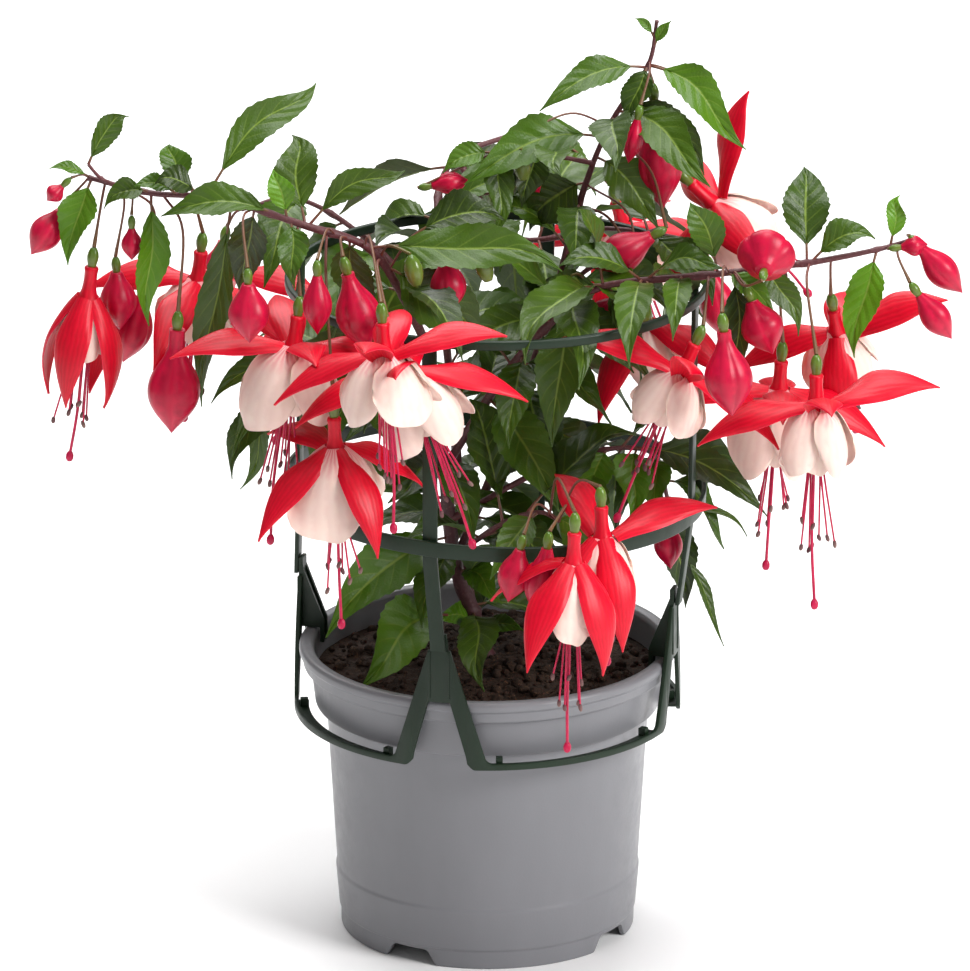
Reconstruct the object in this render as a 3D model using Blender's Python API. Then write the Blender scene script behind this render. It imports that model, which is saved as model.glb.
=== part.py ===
"""Potted fuchsia held by a clip-on plant support: one grower pot, its soil, a plastic cage and the plant.

Metres, +Z up, the plant's front towards -Y. Everything is laid out from a datum on the pot's axis, 2 mm
above its foot, and is then moved as one, so that the bottom centre of the whole object's box is the origin.
"""

import math
from dataclasses import dataclass

import bmesh
import bpy
from mathutils import Matrix, Vector

MM = 0.001
GAP = 0.3 * MM

# Pot
RIM_TOP = 116 * MM
RIM_RADIUS = 75 * MM
FOOT_LEVEL = -2 * MM
FOOT_RADIUS = 58.5 * MM
POT_SIDES = 40
NOTCH_BEARINGS = (-32, 58, 148, 238)
NOTCH_HALF_ANGLE_LOW = 12
NOTCH_HALF_ANGLE_HIGH = 7
NOTCH_HEIGHT = 4.4 * MM

# Soil
SOIL_TOP = 105 * MM
SOIL_RADIUS = 68 * MM
SOIL_MOUND = 1.6 * MM

# Support: the base clip, four posts and two rings
CLIP_INNER_RADIUS = RIM_RADIUS + GAP
CLIP_THICKNESS = 1.7 * MM
CLIP_BEARINGS = (-14.4, 75.6, 165.6, 255.6)
CLIP_LOW = 88.6 * MM
CLIP_STRAP_HEIGHT = 2.7 * MM
CLIP_LEDGE_WIDTH = 4.2 * MM
CLIP_LEDGE_HEIGHT = 1.3 * MM
NOTCH_TOP = RIM_TOP + GAP
SHOULDER_TOP = 138 * MM
TONGUE_TOP = 145 * MM
POST_WIDTH = 6 * MM
POST_THICKNESS = 1.7 * MM
RING_SIDES = 40
MID_RING_HEIGHT = 181 * MM
MID_RING_RADIUS = 83.8 * MM
MID_RING_OFFSET = 3 * MM
MID_RING_TILT = 2.0
TOP_RING_HEIGHT = 267 * MM
TOP_RING_RADIUS = 83.8 * MM
TOP_RING_OFFSET = 4 * MM

# Plant
FLOWER_SIDES = 8
STEM_SIDES = 6
STALK_RADIUS = 0.75 * MM
BARK_REACH = 14 * MM
TUBE_END = 21
SEPAL_LENGTH = 43 * MM
SEPAL_WIDTH = 14 * MM

# Outlines: the share of the way along, then the share of the greatest breadth
LEAF_SHAPE = ((0, 0.11), (0.13, 0.10), (0.22, 0.55), (0.38, 0.97), (0.55, 0.98), (0.74, 0.66), (0.9, 0.25), (1, 0))
SEPAL_SHAPE = ((0, 0.5), (0.25, 0.85), (0.5, 1.0), (0.78, 0.62), (1, 0))
BELL_SHAPE = ((0.15, 0.58), (0.42, 0.95), (0.75, 1.0), (1.0, 0.9))
BUD_SHAPE = ((0, 0.3), (0.25, 0.42), (0.45, 0.92), (0.6, 1.0), (0.78, 0.72), (0.92, 0.28), (1, 0))

FINISHES = {
    "pot_plastic": ((0.27, 0.27, 0.285), 0.45),
    "support_plastic": ((0.027, 0.058, 0.030), 0.40),
    "soil": ((0.030, 0.018, 0.012), 0.95),
    "stem": ((0.130, 0.035, 0.035), 0.60),
    "leaf": ((0.062, 0.150, 0.020), 0.50),
    "petal": ((0.760, 0.010, 0.045), 0.45),
}


@dataclass
class Leaf:
    """One leaf: where its stalk starts, its tip, its widest breadth, its arch and the way it faces."""
    base: tuple
    tip: tuple
    width: float
    arch: float
    face: tuple = (0, -0.8, 0.6)


@dataclass
class Flower:
    """One open flower on its stalk; sepals open by the given angles, starting at the spin angle."""
    stalk: tuple
    head: tuple
    aim: tuple
    spin: float
    lifts: tuple
    bell: tuple = (14, 28)
    style: float = 48


@dataclass
class Bud:
    """One closed bud on its stalk."""
    stalk: tuple
    head: tuple
    aim: tuple
    length: float
    width: float


# All plant places below are in millimetres from the datum; a stem starts with its two end radii.
STEMS = {
    "trunk": (3.2, 2.0, ((0, 14, 107.5), (-6, 11, 124), (-13, 8, 146), (-17, 3, 185), (-20, -8, 222),
                         (-25, -24, 250))),
    "left_branch": (1.9, 1.0, ((-25.2, -24.5, 250.9), (-34, -46, 277), (-47, -60, 300), (-72, -66, 311),
                               (-104, -58, 319), (-132, -44, 317), (-156, -34, 320))),
    "right_branch": (1.9, 0.9, ((-13, 0, 192), (4, -8, 226), (22, -18, 252), (42, -30, 273), (84, -44, 283),
                                (124, -50, 290), (152, -48, 295), (167, -44, 298))),
    "upright_shoot": (1.9, 0.7, ((-12.5, 13.2, 148), (6, 20, 190), (24, 20, 244), (36, 18, 292), (48, 14, 326),
                                 (63, 10, 352), (66.5, 9, 371))),
    "back_branch": (1.9, 0.9, ((-5.5, 15.4, 130), (-14, 44, 200), (-20, 62, 262), (-16, 92, 284), (6, 112, 290),
                               (20, 122, 286))),
    "low_twig": (1.2, 0.7, ((-9.2, 5.3, 150), (6, -20, 172), (20, -44, 185), (28, -57, 186))),
    "inner_twig": (1.3, 0.8, ((-11.6, 3.6, 168), (20, 2, 186), (46, -6, 198), (66, 6, 192), (72, 24, 166))),
}

LEAVES = (
    Leaf((-156, -36, 315), (-165, -46, 288), 17, 3, (-0.3, -0.9, 0.3)),
    Leaf((-108, -52, 319), (-66, -30, 358), 16, 7, (0.2, -0.8, 0.6)),
    Leaf((-70, -58, 314), (-77, -46, 343), 20, 3),
    Leaf((-68, -70, 316), (-32, -62, 332), 13, 6),
    Leaf((-38, -58, 309), (29, -74, 295), 22, 5, (0, -0.75, 0.65)),
    Leaf((-133, -48, 311), (-132, -50, 264), 15, 2, (0.3, -0.95, 0.1)),
    Leaf((-100, -44, 312), (-113, -34, 225), 16, 3, (-0.4, -0.9, 0)),
    Leaf((-30, -44, 264), (-101, -40, 206), 26, 8),
    Leaf((42, 10, 322), (-9, -8, 309), 21, 8),
    Leaf((68, 4, 350), (102, -14, 326), 17, 6),
    Leaf((52, 6, 331), (87, -26, 314), 20, 7),
    Leaf((124, -44, 296), (124, -30, 325), 21, 3, (0.1, -0.9, 0.3)),
    Leaf((154, -52, 289), (142, -64, 256), 18, 3, (-0.4, -0.9, 0.2)),
    Leaf((36, -26, 262), (25, -44, 212), 22, 4, (-0.2, -0.95, 0.2)),
    Leaf((64, -12, 202), (113, -4, 171), 18, 7),
    Leaf((73, 26, 162), (80, 34, 116), 16, 3, (0.4, -0.9, 0.1)),
    Leaf((-24, 6, 156), (-64, -30, 128), 25, 9),
    Leaf((-16, -4, 128), (-50, -46, 112.5), 26, 8),
    Leaf((1, 114, 294), (-12, 146, 254), 22, 4, (-0.2, 0.9, 0.4)),
    Leaf((-22, 96, 284), (-60, 128, 254), 20, 4, (-0.3, 0.8, 0.5)),
    Leaf((39, 26, 286), (86, 66, 266), 22, 7, (0.2, 0.4, 0.8)),
)

FLOWERS = (
    Flower((-151, -37, 310), (-154, -40, 293), (-0.18, 0, -1), 40, (20, 26, 22, 28), (9, 24), 42),
    Flower((-76, -72, 306), (-73, -74, 284), (-0.22, 0, -1), -20, (38, 56, 82, 98), (16, 29), 50),
    Flower((-47, -66, 299), (-41, -125, 298), (0.12, 0, -1), 66, (40, 70, 50, 20), (14, 24), 46),
    Flower((-39, -60, 294), (-38, -100, 281), (0.36, -0.02, -1), 44, (76, 38, 44, 78), (13, 28), 45),
    Flower((-62, -76, 304), (-60, -88, 247), (0.05, 0.02, -1), 58, (50, 52, 60, 62), (16, 33), 41),
    Flower((17, -56, 191), (34, -112, 208), (-0.03, 0, -1), 30, (30, 44, 34, 4), (9, 30), 46),
    Flower((30, -61, 189), (44, -87, 210), (0.06, 0, -1), -25, (104, 34, 14, 98), (9.5, 24), 26),
    Flower((86, -50, 280), (84, -62, 268), (-0.42, 0, -1), 10, (60, 60, 90, 40), (11, 22), 42),
    Flower((126, -56, 287), (128, -80, 262), (0, 0, -1), -14, (94, 56, 66, 30), (12, 27), 54),
    Flower((112, -44, 288), (116, -28, 250), (-0.08, 0.1, -1), 30, (30, 40, 60, 70), (14, 34), 42),
    Flower((136, -42, 290), (140, -20, 273), (0.15, 0.3, -1), -60, (60, 96, 60, 60), (11, 24), 30),
    Flower((58, 20, 342), (66, 24, 328), (0.62, 0.1, -0.78), 80, (60, 60, 106, 92), (11, 24), 30),
    Flower((22, 118, 282), (50, 110, 270), (0.25, 0.35, -1), 20, (70, 60, 70, 60), (13, 27), 44),
    Flower((-34, 78, 262), (-60, 84, 248), (-0.3, 0.3, -1), 35, (62, 58, 66, 54), (13, 27), 44),
)

BUDS = (
    Bud((-158, -34, 316), (-166, -34, 309), (-0.5, 0, -0.86), 31, 13),
    Bud((-126, -46, 314), (-121, -50, 270), (-0.06, 0, -1), 50, 21),
    Bud((-142, -40, 314), (-134, -18, 272), (-0.28, 0.1, -1), 36, 15),
    Bud((-92, -64, 314), (-93, -91, 301), (0.02, 0, -1), 30, 16),
    Bud((-54, -66, 304), (-56, -80, 302), (0.24, 0.08, -1), 40, 17),
    Bud((94, -52, 278), (92, -92, 278), (0.10, 0, -1), 42, 19),
    Bud((24, -60, 188), (14, -95, 193), (-0.22, 0, -1), 28, 13),
    Bud((168, -44, 297), (168, -50, 293), (0.62, 0, -0.78), 33, 15),
    Bud((164, -46, 296), (165, -60, 278), (0.5, 0, -0.86), 29, 14),
)


def clear_scene():
    """Remove whatever objects the scene starts with."""
    for old in list(bpy.data.objects):
        bpy.data.objects.remove(old, do_unlink=True)


def material_for(name):
    """Return the named finish as a Principled material, made once."""
    found = bpy.data.materials.get(name)
    if found:
        return found
    colour, roughness = FINISHES[name]
    material = bpy.data.materials.new(name)
    material.use_nodes = True
    shader = material.node_tree.nodes["Principled BSDF"]
    shader.inputs["Base Color"].default_value = (*colour, 1)
    shader.inputs["Roughness"].default_value = roughness
    shader.inputs["Metallic"].default_value = 0
    return material


def add_object(name, mesh_data, finish):
    """Turn a bmesh into a named object with smooth round faces and its finish."""
    bmesh.ops.recalc_face_normals(mesh_data, faces=mesh_data.faces)
    mesh = bpy.data.meshes.new(name)
    mesh_data.to_mesh(mesh)
    mesh_data.free()
    mesh.shade_smooth()
    mesh.set_sharp_from_angle(angle=math.radians(40))
    mesh.materials.append(material_for(finish))
    obj = bpy.data.objects.new(name, mesh)
    bpy.context.collection.objects.link(obj)
    return obj


def add_cutter(name, mesh_data, finish):
    """Make a hidden helper object for a Boolean."""
    cutter = add_object(name, mesh_data, finish)
    cutter.hide_render = True
    cutter.display_type = "WIRE"
    return cutter


def combine(obj, helper, operation):
    """Give an object a Boolean with a helper that may cross itself."""
    modifier = obj.modifiers.new(helper.name, "BOOLEAN")
    modifier.operation = operation
    modifier.object = helper
    modifier.solver = "EXACT"
    modifier.use_self = operation == "UNION"


def bridge(mesh_data, first, second):
    """Join two loops of vertices, either of which may be a single point."""
    count = max(len(first), len(second))
    for i in range(count):
        j = (i + 1) % count
        if len(first) == 1:
            corners = (first[0], second[i], second[j])
        elif len(second) == 1:
            corners = (first[i], first[j], second[0])
        else:
            corners = (first[i], first[j], second[j], second[i])
        mesh_data.faces.new(corners)


def loft(mesh_data, loops, closed=False):
    """Skin a row of point loops; open rows get flat ends, closed rows meet themselves."""
    rows = [[mesh_data.verts.new(point) for point in loop] for loop in loops]
    for first, second in zip(rows, rows[1:]):
        bridge(mesh_data, first, second)
    if closed:
        bridge(mesh_data, rows[-1], rows[0])
        return
    for row in (rows[0], rows[-1]):
        if len(row) > 1:
            mesh_data.faces.new(row)


def turned(profile, sides, lift=None):
    """Turn a profile of radius and height pairs about +Z; lift may raise each point."""
    loops = []
    for radius, height in profile:
        steps = sides if radius > 0 else 1
        loop = []
        for i in range(steps):
            angle = 2 * math.pi * i / sides
            raised = height + (lift(radius, angle, height) if lift else 0)
            loop.append((radius * math.cos(angle), radius * math.sin(angle), raised))
        loops.append(loop)
    mesh_data = bmesh.new()
    loft(mesh_data, loops)
    return mesh_data


def around(bearing, radius, height):
    """Place a point by its bearing in degrees, 0 at the front and 90 at the right."""
    angle = math.radians(bearing)
    return Vector((radius * math.sin(angle), -radius * math.cos(angle), height))


def prism(mesh_data, outline, inner, outer):
    """Add an upright slab, its outline of bearings and heights, between two radii."""
    loops = [[around(bearing, radius, height) for bearing, height in outline] for radius in (inner, outer)]
    loft(mesh_data, loops)


def make_pot():
    """Build the pot: a tapered cup with a banded top, a stepped rim and four arches in its foot."""
    outer = ((0, 6.0), (56.0, 6.0), (56.6, -2.0), (58.5, -2.0), (58.6, 5.4), (59.2, 6.0), (60.6, 22.4),
             (60.1, 23.8), (64.2, 90.4), (68.6, 91.6), (70.4, 106.4), (73.3, 107.2), (73.7, 111.5),
             (75.0, 112.2), (75.0, 114.6), (74.0, 115.7), (72.6, 116.0))
    inner = ((70.2, 115.6), (69.0, 114.0), (68.6, 106.6), (66.9, 93.2), (62.8, 91.6), (58.8, 23.6), (57.4, 8.0),
             (0, 8.0))
    profile = [(radius * MM, height * MM) for radius, height in outer + inner]
    pot = add_object("pot", turned(profile, POT_SIDES), "pot_plastic")
    arches = bmesh.new()
    for bearing in NOTCH_BEARINGS:
        low = NOTCH_HALF_ANGLE_LOW
        high = NOTCH_HALF_ANGLE_HIGH
        below = FOOT_LEVEL - MM
        outline = ((bearing - low, below), (bearing + low, below), (bearing + high, NOTCH_HEIGHT),
                   (bearing - high, NOTCH_HEIGHT))
        prism(arches, outline, FOOT_RADIUS - 4 * MM, FOOT_RADIUS + 3 * MM)
    combine(pot, add_cutter("pot_arches", arches, "pot_plastic"), "DIFFERENCE")


def soil_bumps(radius, angle, height):
    """Raise the soil's top into low mounds that die out at the middle and at the pot's wall."""
    if height < SOIL_TOP:
        return 0
    share = radius / SOIL_RADIUS
    waves = math.sin(3 * angle + 4 * share) + math.cos(5 * angle - 5 * share)
    return SOIL_MOUND * 2 * share * (1 - share) * waves


def make_soil():
    """Build the soil plug that fills the pot to a little under the rim."""
    side = ((0, 8.5), (56.8, 8.5), (58.2, 23.6), (62.2, 92.0), (66.2, 93.8), (67.6, 104.4))
    profile = [(radius * MM, height * MM) for radius, height in side]
    profile += [(SOIL_RADIUS * share, SOIL_TOP) for share in (0.85, 0.6, 0.3, 0)]
    add_object("soil", turned(profile, POT_SIDES, soil_bumps), "soil")


def clip_stations():
    """List the clip band's bearings with its lower and upper edges, one foot and one span per quarter."""
    low = CLIP_LOW
    strap = CLIP_LOW + CLIP_STRAP_HEIGHT
    foot = ((2.2, NOTCH_TOP, TONGUE_TOP), (2.3, NOTCH_TOP, SHOULDER_TOP), (3.3, NOTCH_TOP, SHOULDER_TOP),
            (8.2, low + 4.6 * MM, None), (9.4, low + 1.4 * MM, None), (10.8, low, None), (14.0, low, None),
            (15.6, low, strap))
    shoulder = 3.3
    toe = 14.0
    toe_top = strap + 1.2 * MM
    stations = []
    for centre in CLIP_BEARINGS:
        half = []
        for offset, lower, upper in foot:
            if upper is None:
                along = (offset - shoulder) / (toe - shoulder)
                upper = SHOULDER_TOP + (toe_top - SHOULDER_TOP) * along
            half.append((offset, lower, upper))
        stations += [(centre - offset, lower, upper) for offset, lower, upper in reversed(half)]
        stations += [(centre + offset, lower, upper) for offset, lower, upper in half]
        stations += [(centre + offset, low, strap) for offset in (25, 35, 45, 55, 65)]
    return stations


def make_clip():
    """Build the base clip: a strap with four A-shaped feet, an inner ledge, and ribs that hook the rim."""
    inner = CLIP_INNER_RADIUS
    outer = CLIP_INNER_RADIUS + CLIP_THICKNESS
    band = bmesh.new()
    loft(band, [[around(bearing, inner, lower), around(bearing, outer, lower), around(bearing, outer, upper),
                 around(bearing, inner, upper)] for bearing, lower, upper in clip_stations()], closed=True)
    clip = add_object("support_clip", band, "support_plastic")
    extras = bmesh.new()
    for centre in CLIP_BEARINGS:
        ledge = [(inner - CLIP_LEDGE_WIDTH, CLIP_LOW), (inner + MM, CLIP_LOW),
                 (inner + MM, CLIP_LOW + CLIP_LEDGE_HEIGHT), (inner - CLIP_LEDGE_WIDTH, CLIP_LOW + CLIP_LEDGE_HEIGHT)]
        bearings = [centre + offset for offset in (12.4, 22, 33.5, 45, 56.5, 68, 77.6)]
        loft(extras, [[around(bearing, radius, height) for radius, height in ledge] for bearing in bearings])
        for offset in (18, 72):
            outline = ((centre + offset - 1, CLIP_LOW + 0.4 * MM), (centre + offset + 1, CLIP_LOW + 0.4 * MM),
                       (centre + offset + 1, CLIP_LOW + 4.6 * MM), (centre + offset - 1, CLIP_LOW + 4.6 * MM))
            prism(extras, outline, inner - 3.8 * MM, inner - 0.6 * MM)
        for offset in (-1.9, 1.9):
            hook = ((inner + 0.8 * MM, 116.3), (68.3 * MM, 116.3), (68.2 * MM, 110), (66.6 * MM, 110),
                    (66.8 * MM, 119.5), (inner + 0.8 * MM, 143))
            loops = [[around(centre + offset + half, radius, height * MM) for radius, height in hook]
                     for half in (-0.6, 0.6)]
            loft(extras, loops)
    combine(clip, add_cutter("support_clip_extras", extras, "support_plastic"), "UNION")


def make_posts():
    """Build the four posts: flat straps that lean out from the clip to the inside of the two rings."""
    places = {"front": (-14.4, -18.5, -19.4), "right": (75.6, 75.6, 75.6), "back": (165.6, 165.6, 165.6),
              "left": (255.6, 255.6, 255.6)}
    foot_radius = CLIP_INNER_RADIUS + CLIP_THICKNESS + GAP + POST_THICKNESS / 2
    for side, (low, middle, high) in places.items():
        axis_mid = Vector((MID_RING_OFFSET, 0, 0))
        axis_top = Vector((TOP_RING_OFFSET, 0, 0))
        inset = 3.6 * MM
        centres = (around(low, foot_radius, 138.4 * MM),
                   axis_mid + around(middle, MID_RING_RADIUS - inset, 176 * MM),
                   axis_mid + around(middle, MID_RING_RADIUS - inset, 188 * MM),
                   axis_top + around(high, TOP_RING_RADIUS - inset, 262 * MM),
                   axis_top + around(high, TOP_RING_RADIUS - inset, 268.6 * MM))
        bearings = (low, middle, middle, high, high)
        loops = []
        for centre, bearing in zip(centres, bearings):
            across = around(bearing + 90, POST_WIDTH / 2, 0)
            through = around(bearing, POST_THICKNESS / 2, 0)
            loops.append([centre - across - through, centre + across - through, centre + across + through,
                          centre - across + through])
        mesh_data = bmesh.new()
        loft(mesh_data, loops)
        add_object(f"support_post_{side}", mesh_data, "support_plastic")


def make_ring(name, radius, height, offset, tilt, section):
    """Build one hoop from its radius and its section, a loop of outward and upward steps."""
    lean = Matrix.Translation((offset, 0, height)) @ Matrix.Rotation(math.radians(tilt), 4, "Y")
    loops = [[lean @ around(360 * i / RING_SIDES, radius + out * MM, up * MM) for out, up in section]
             for i in range(RING_SIDES)]
    mesh_data = bmesh.new()
    loft(mesh_data, loops, closed=True)
    add_object(name, mesh_data, "support_plastic")


def make_rings():
    """Build the broad middle strap and the slimmer rounded top ring."""
    make_ring("support_ring_middle", MID_RING_RADIUS, MID_RING_HEIGHT, MID_RING_OFFSET, MID_RING_TILT,
              ((-1.7, -3.1), (0, -3.1), (0, 3.1), (-1.7, 3.1)))
    make_ring("support_ring_top", TOP_RING_RADIUS, TOP_RING_HEIGHT, TOP_RING_OFFSET, 0,
              ((-2.2, -1.2), (-1.4, -1.9), (-0.6, -1.9), (0.3, -0.9), (0.3, 0.9), (-0.6, 1.9), (-1.4, 1.9),
               (-2.2, 1.2)))


def smooth_path(points, steps):
    """Run a Catmull-Rom curve through the points, with the given steps in each gap."""
    spots = [Vector(point) for point in points]
    spots = [spots[0] * 2 - spots[1], *spots, spots[-1] * 2 - spots[-2]]
    path = []
    for a, b, c, d in zip(spots, spots[1:], spots[2:], spots[3:]):
        for i in range(steps):
            t = i / steps
            path.append(0.5 * (2 * b + (c - a) * t + (2 * a - 5 * b + 4 * c - d) * t * t
                               + (3 * b - a - 3 * c + d) * t ** 3))
    path.append(spots[-2])
    return path


def swept_loops(path, radii, sides):
    """Ring each path point with a circle square to the path; a zero radius gives one point."""
    loops = []
    across = None
    for i, point in enumerate(path):
        ahead = path[min(i + 1, len(path) - 1)] - path[max(i - 1, 0)]
        ahead.normalize()
        if across is None:
            across = ahead.orthogonal()
        across = (across - ahead * across.dot(ahead)).normalized()
        other = ahead.cross(across)
        steps = sides if radii[i] > 0 else 1
        turns = [2 * math.pi * k / sides for k in range(steps)]
        loops.append([point + radii[i] * (across * math.cos(turn) + other * math.sin(turn)) for turn in turns])
    return loops


def stem_run(thick, thin, points):
    """Return a stem's smooth path and the radius at each of its points."""
    path = smooth_path([Vector(point) * MM for point in points], 2)
    return path, [(thick + (thin - thick) * i / (len(path) - 1)) * MM for i in range(len(path))]


def bark_spot(point):
    """Return the place just off the bark of the nearest stem, if a stem is near, else the point itself."""
    nearest = BARK_REACH
    spot = point
    for thick, thin, points in STEMS.values():
        path, radii = stem_run(thick, thin, points)
        for start, end, radius in zip(path, path[1:], radii):
            share = min(1, max(0, (point - start).dot(end - start) / (end - start).length_squared))
            centre = start.lerp(end, share)
            away = (point - centre).length
            if away < nearest:
                nearest = away
                spot = centre + (point - centre).normalized() * (radius + STALK_RADIUS + GAP)
    return spot


def make_stem(name, thick, thin, points):
    """Build one woody stem that tapers along its way."""
    path, radii = stem_run(thick, thin, points)
    mesh_data = bmesh.new()
    loft(mesh_data, swept_loops(path, radii, STEM_SIDES))
    add_object(name, mesh_data, "stem")


def blade_loops(base, tip, bulge, face, shape, width, thickness, fold):
    """Shape a leaf or sepal: a bowed spine with a four-cornered section that follows the outline."""
    span = tip - base
    side = span.cross(face).normalized()
    control = (base + tip) / 2 + bulge
    loops = []
    for t, breadth in shape:
        point = base * (1 - t) ** 2 + control * 2 * t * (1 - t) + tip * t * t
        if breadth == 0:
            loops.append([point])
            continue
        ahead = (control - base) * (1 - t) + (tip - control) * t
        normal = side.cross(ahead).normalized()
        half = side * width * breadth / 2
        raised = normal * fold * width * breadth / 2
        core = normal * min(thickness, width * breadth) / 2
        loops.append([point - half + raised, point - core, point + half + raised, point + core])
    return loops


def make_leaf(name, leaf):
    """Build one leaf with its short stalk as one body."""
    base = bark_spot(Vector(leaf.base) * MM)
    tip = Vector(leaf.tip) * MM
    face = Vector(leaf.face).normalized()
    bulge = Vector((0, 0, 2 * leaf.arch * MM))
    mesh_data = bmesh.new()
    loft(mesh_data, blade_loops(base, tip, bulge, face, LEAF_SHAPE, leaf.width * MM, 1.0 * MM, 0.16))
    add_object(name, mesh_data, "leaf")


def stalk_points(stalk, head, axis):
    """Bow a stalk over from the branch so that it meets the flower in line with it."""
    reach = (head - stalk).length
    return smooth_path([stalk, (stalk + head) / 2 - axis * 0.22 * reach, head - axis * 1.5 * MM], 2)


def make_flower(name, flower):
    """Build one flower: stalk, ovary, tube, corolla bell and style in one sweep, with four sepals joined on."""
    stalk = bark_spot(Vector(flower.stalk) * MM)
    head = Vector(flower.head) * MM
    axis = Vector(flower.aim).normalized()
    girth, depth = flower.bell
    bell_end = TUBE_END + depth
    profile = [(0, 1.3), (3.5, 2.4), (6.5, 1.8), (8.5, 2.6), (15, 3.0), (TUBE_END, 4.4)]
    profile += [(TUBE_END + depth * share, girth * breadth) for share, breadth in BELL_SHAPE]
    profile += [(bell_end + 0.4, 1.0), (bell_end + flower.style - 3, 0.8), (bell_end + flower.style, 1.7),
                (bell_end + flower.style + 3, 0)]
    path = stalk_points(stalk, head, axis)
    radii = [STALK_RADIUS] * len(path)
    for along, radius in profile:
        path.append(head + axis * along * MM)
        radii.append(radius * MM)
    mesh_data = bmesh.new()
    loft(mesh_data, swept_loops(path, radii, FLOWER_SIDES))
    body = add_object(name, mesh_data, "petal")
    right = (Vector((1, 0, 0)) - axis * axis.x).normalized()
    front = axis.cross(right)
    mouth = head + axis * TUBE_END * MM
    for number, lift in enumerate(flower.lifts):
        turn = math.radians(flower.spin + 90 * number)
        opening = math.radians(lift)
        outward = right * math.cos(turn) + front * math.sin(turn)
        reach = axis * math.cos(opening) + outward * math.sin(opening)
        tip = mouth + outward * 6 * MM + reach * SEPAL_LENGTH
        bulge = (axis * 0.35 + outward * 0.65 - reach * 0.7) * 0.30 * SEPAL_LENGTH
        sepal = bmesh.new()
        loft(sepal, blade_loops(mouth + outward * 1.5 * MM, tip, bulge, outward - axis * 0.3, SEPAL_SHAPE,
                                SEPAL_WIDTH, 1.5 * MM, 0.1))
        combine(body, add_cutter(f"{name}_sepal_{number}", sepal, "petal"), "UNION")


def make_bud(name, bud):
    """Build one closed bud with its stalk and ovary."""
    stalk = bark_spot(Vector(bud.stalk) * MM)
    head = Vector(bud.head) * MM
    axis = Vector(bud.aim).normalized()
    path = stalk_points(stalk, head, axis)
    radii = [STALK_RADIUS] * len(path)
    neck = 7
    outline = [(0, 1.1), (3, 2.0), (6, 1.6)]
    outline += [(neck + (bud.length - neck) * share, bud.width / 2 * breadth) for share, breadth in BUD_SHAPE]
    for along, radius in outline:
        path.append(head + axis * along * MM)
        radii.append(radius * MM)
    mesh_data = bmesh.new()
    loft(mesh_data, swept_loops(path, radii, FLOWER_SIDES))
    add_object(name, mesh_data, "petal")


def settle_on_origin():
    """Move everything so that the bottom centre of the whole box is the origin."""
    bpy.context.view_layer.update()
    depsgraph = bpy.context.evaluated_depsgraph_get()
    solids = [obj.evaluated_get(depsgraph) for obj in bpy.data.objects if not obj.hide_render]
    corners = [Vector(corner) for solid in solids for corner in solid.bound_box]
    low = Vector([min(corner[i] for corner in corners) for i in range(3)])
    high = Vector([max(corner[i] for corner in corners) for i in range(3)])
    shift = Vector(((low.x + high.x) / 2, (low.y + high.y) / 2, low.z))
    for obj in bpy.data.objects:
        obj.location -= shift


def main():
    """Build the whole object."""
    clear_scene()
    make_pot()
    make_soil()
    make_clip()
    make_posts()
    make_rings()
    for name, (thick, thin, points) in STEMS.items():
        make_stem(name, thick, thin, points)
    for number, leaf in enumerate(LEAVES, 1):
        make_leaf(f"leaf_{number:02d}", leaf)
    for number, flower in enumerate(FLOWERS, 1):
        make_flower(f"flower_{number:02d}", flower)
    for number, bud in enumerate(BUDS, 1):
        make_bud(f"bud_{number:02d}", bud)
    settle_on_origin()


main()
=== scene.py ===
"""Looks of a potted fuchsia in a clip-on plant support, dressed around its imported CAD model.

Every plant place is given in millimetres from the datum, a point on the pot's axis just above its foot,
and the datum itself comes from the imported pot. Metres are used everywhere else, +Z up, front towards -Y.
"""

import logging
import math
import random
from dataclasses import dataclass, field
from enum import Enum
from typing import Callable, ClassVar, Sequence

import bmesh
import bpy
import numpy as np
from mathutils import Matrix, Vector, noise


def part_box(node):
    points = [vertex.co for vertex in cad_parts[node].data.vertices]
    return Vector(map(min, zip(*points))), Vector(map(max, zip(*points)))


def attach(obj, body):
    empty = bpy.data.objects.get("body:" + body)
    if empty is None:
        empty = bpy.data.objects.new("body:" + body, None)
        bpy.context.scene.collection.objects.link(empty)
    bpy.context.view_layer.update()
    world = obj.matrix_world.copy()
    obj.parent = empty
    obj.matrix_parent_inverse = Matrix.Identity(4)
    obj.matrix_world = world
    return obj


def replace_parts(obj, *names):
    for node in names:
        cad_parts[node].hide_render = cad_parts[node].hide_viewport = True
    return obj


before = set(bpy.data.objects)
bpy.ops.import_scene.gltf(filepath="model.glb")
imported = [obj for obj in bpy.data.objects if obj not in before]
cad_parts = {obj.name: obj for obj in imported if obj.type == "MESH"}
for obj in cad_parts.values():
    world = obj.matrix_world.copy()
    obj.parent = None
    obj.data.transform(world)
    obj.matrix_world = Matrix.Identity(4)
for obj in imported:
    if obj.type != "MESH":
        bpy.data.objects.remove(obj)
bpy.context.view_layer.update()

MM = 0.001
BODY = "root"
FOOT_DEPTH = 2.0
SAME_PLACE = 1e-7
COLOUR = {"data_type": "RGBA"}
LOG = logging.getLogger("fuchsia")

Point = tuple[float, float, float]
Socket = bpy.types.NodeSocket
Value = Socket | float | int | bool | tuple | Vector


class Slot(Enum):
    """Names of material slots; each draft keeps one, but nothing applies it."""

    POT = "pot_plastic"
    SUPPORT = "support_plastic"
    SOIL = "soil"
    STEM = "stem"
    LEAF = "leaf"
    PETAL = "petal"


def pot_datum() -> Vector:
    """Return the point on the pot's axis that plant places are measured from."""
    low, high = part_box("pot")
    return Vector(((low.x + high.x) / 2, (low.y + high.y) / 2, low.z + FOOT_DEPTH * MM))


DATUM = pot_datum()


def place(point: Sequence[float]) -> Vector:
    """Turn a place in millimetres from the datum into a world point in metres."""
    return DATUM + Vector(point) * MM


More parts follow.
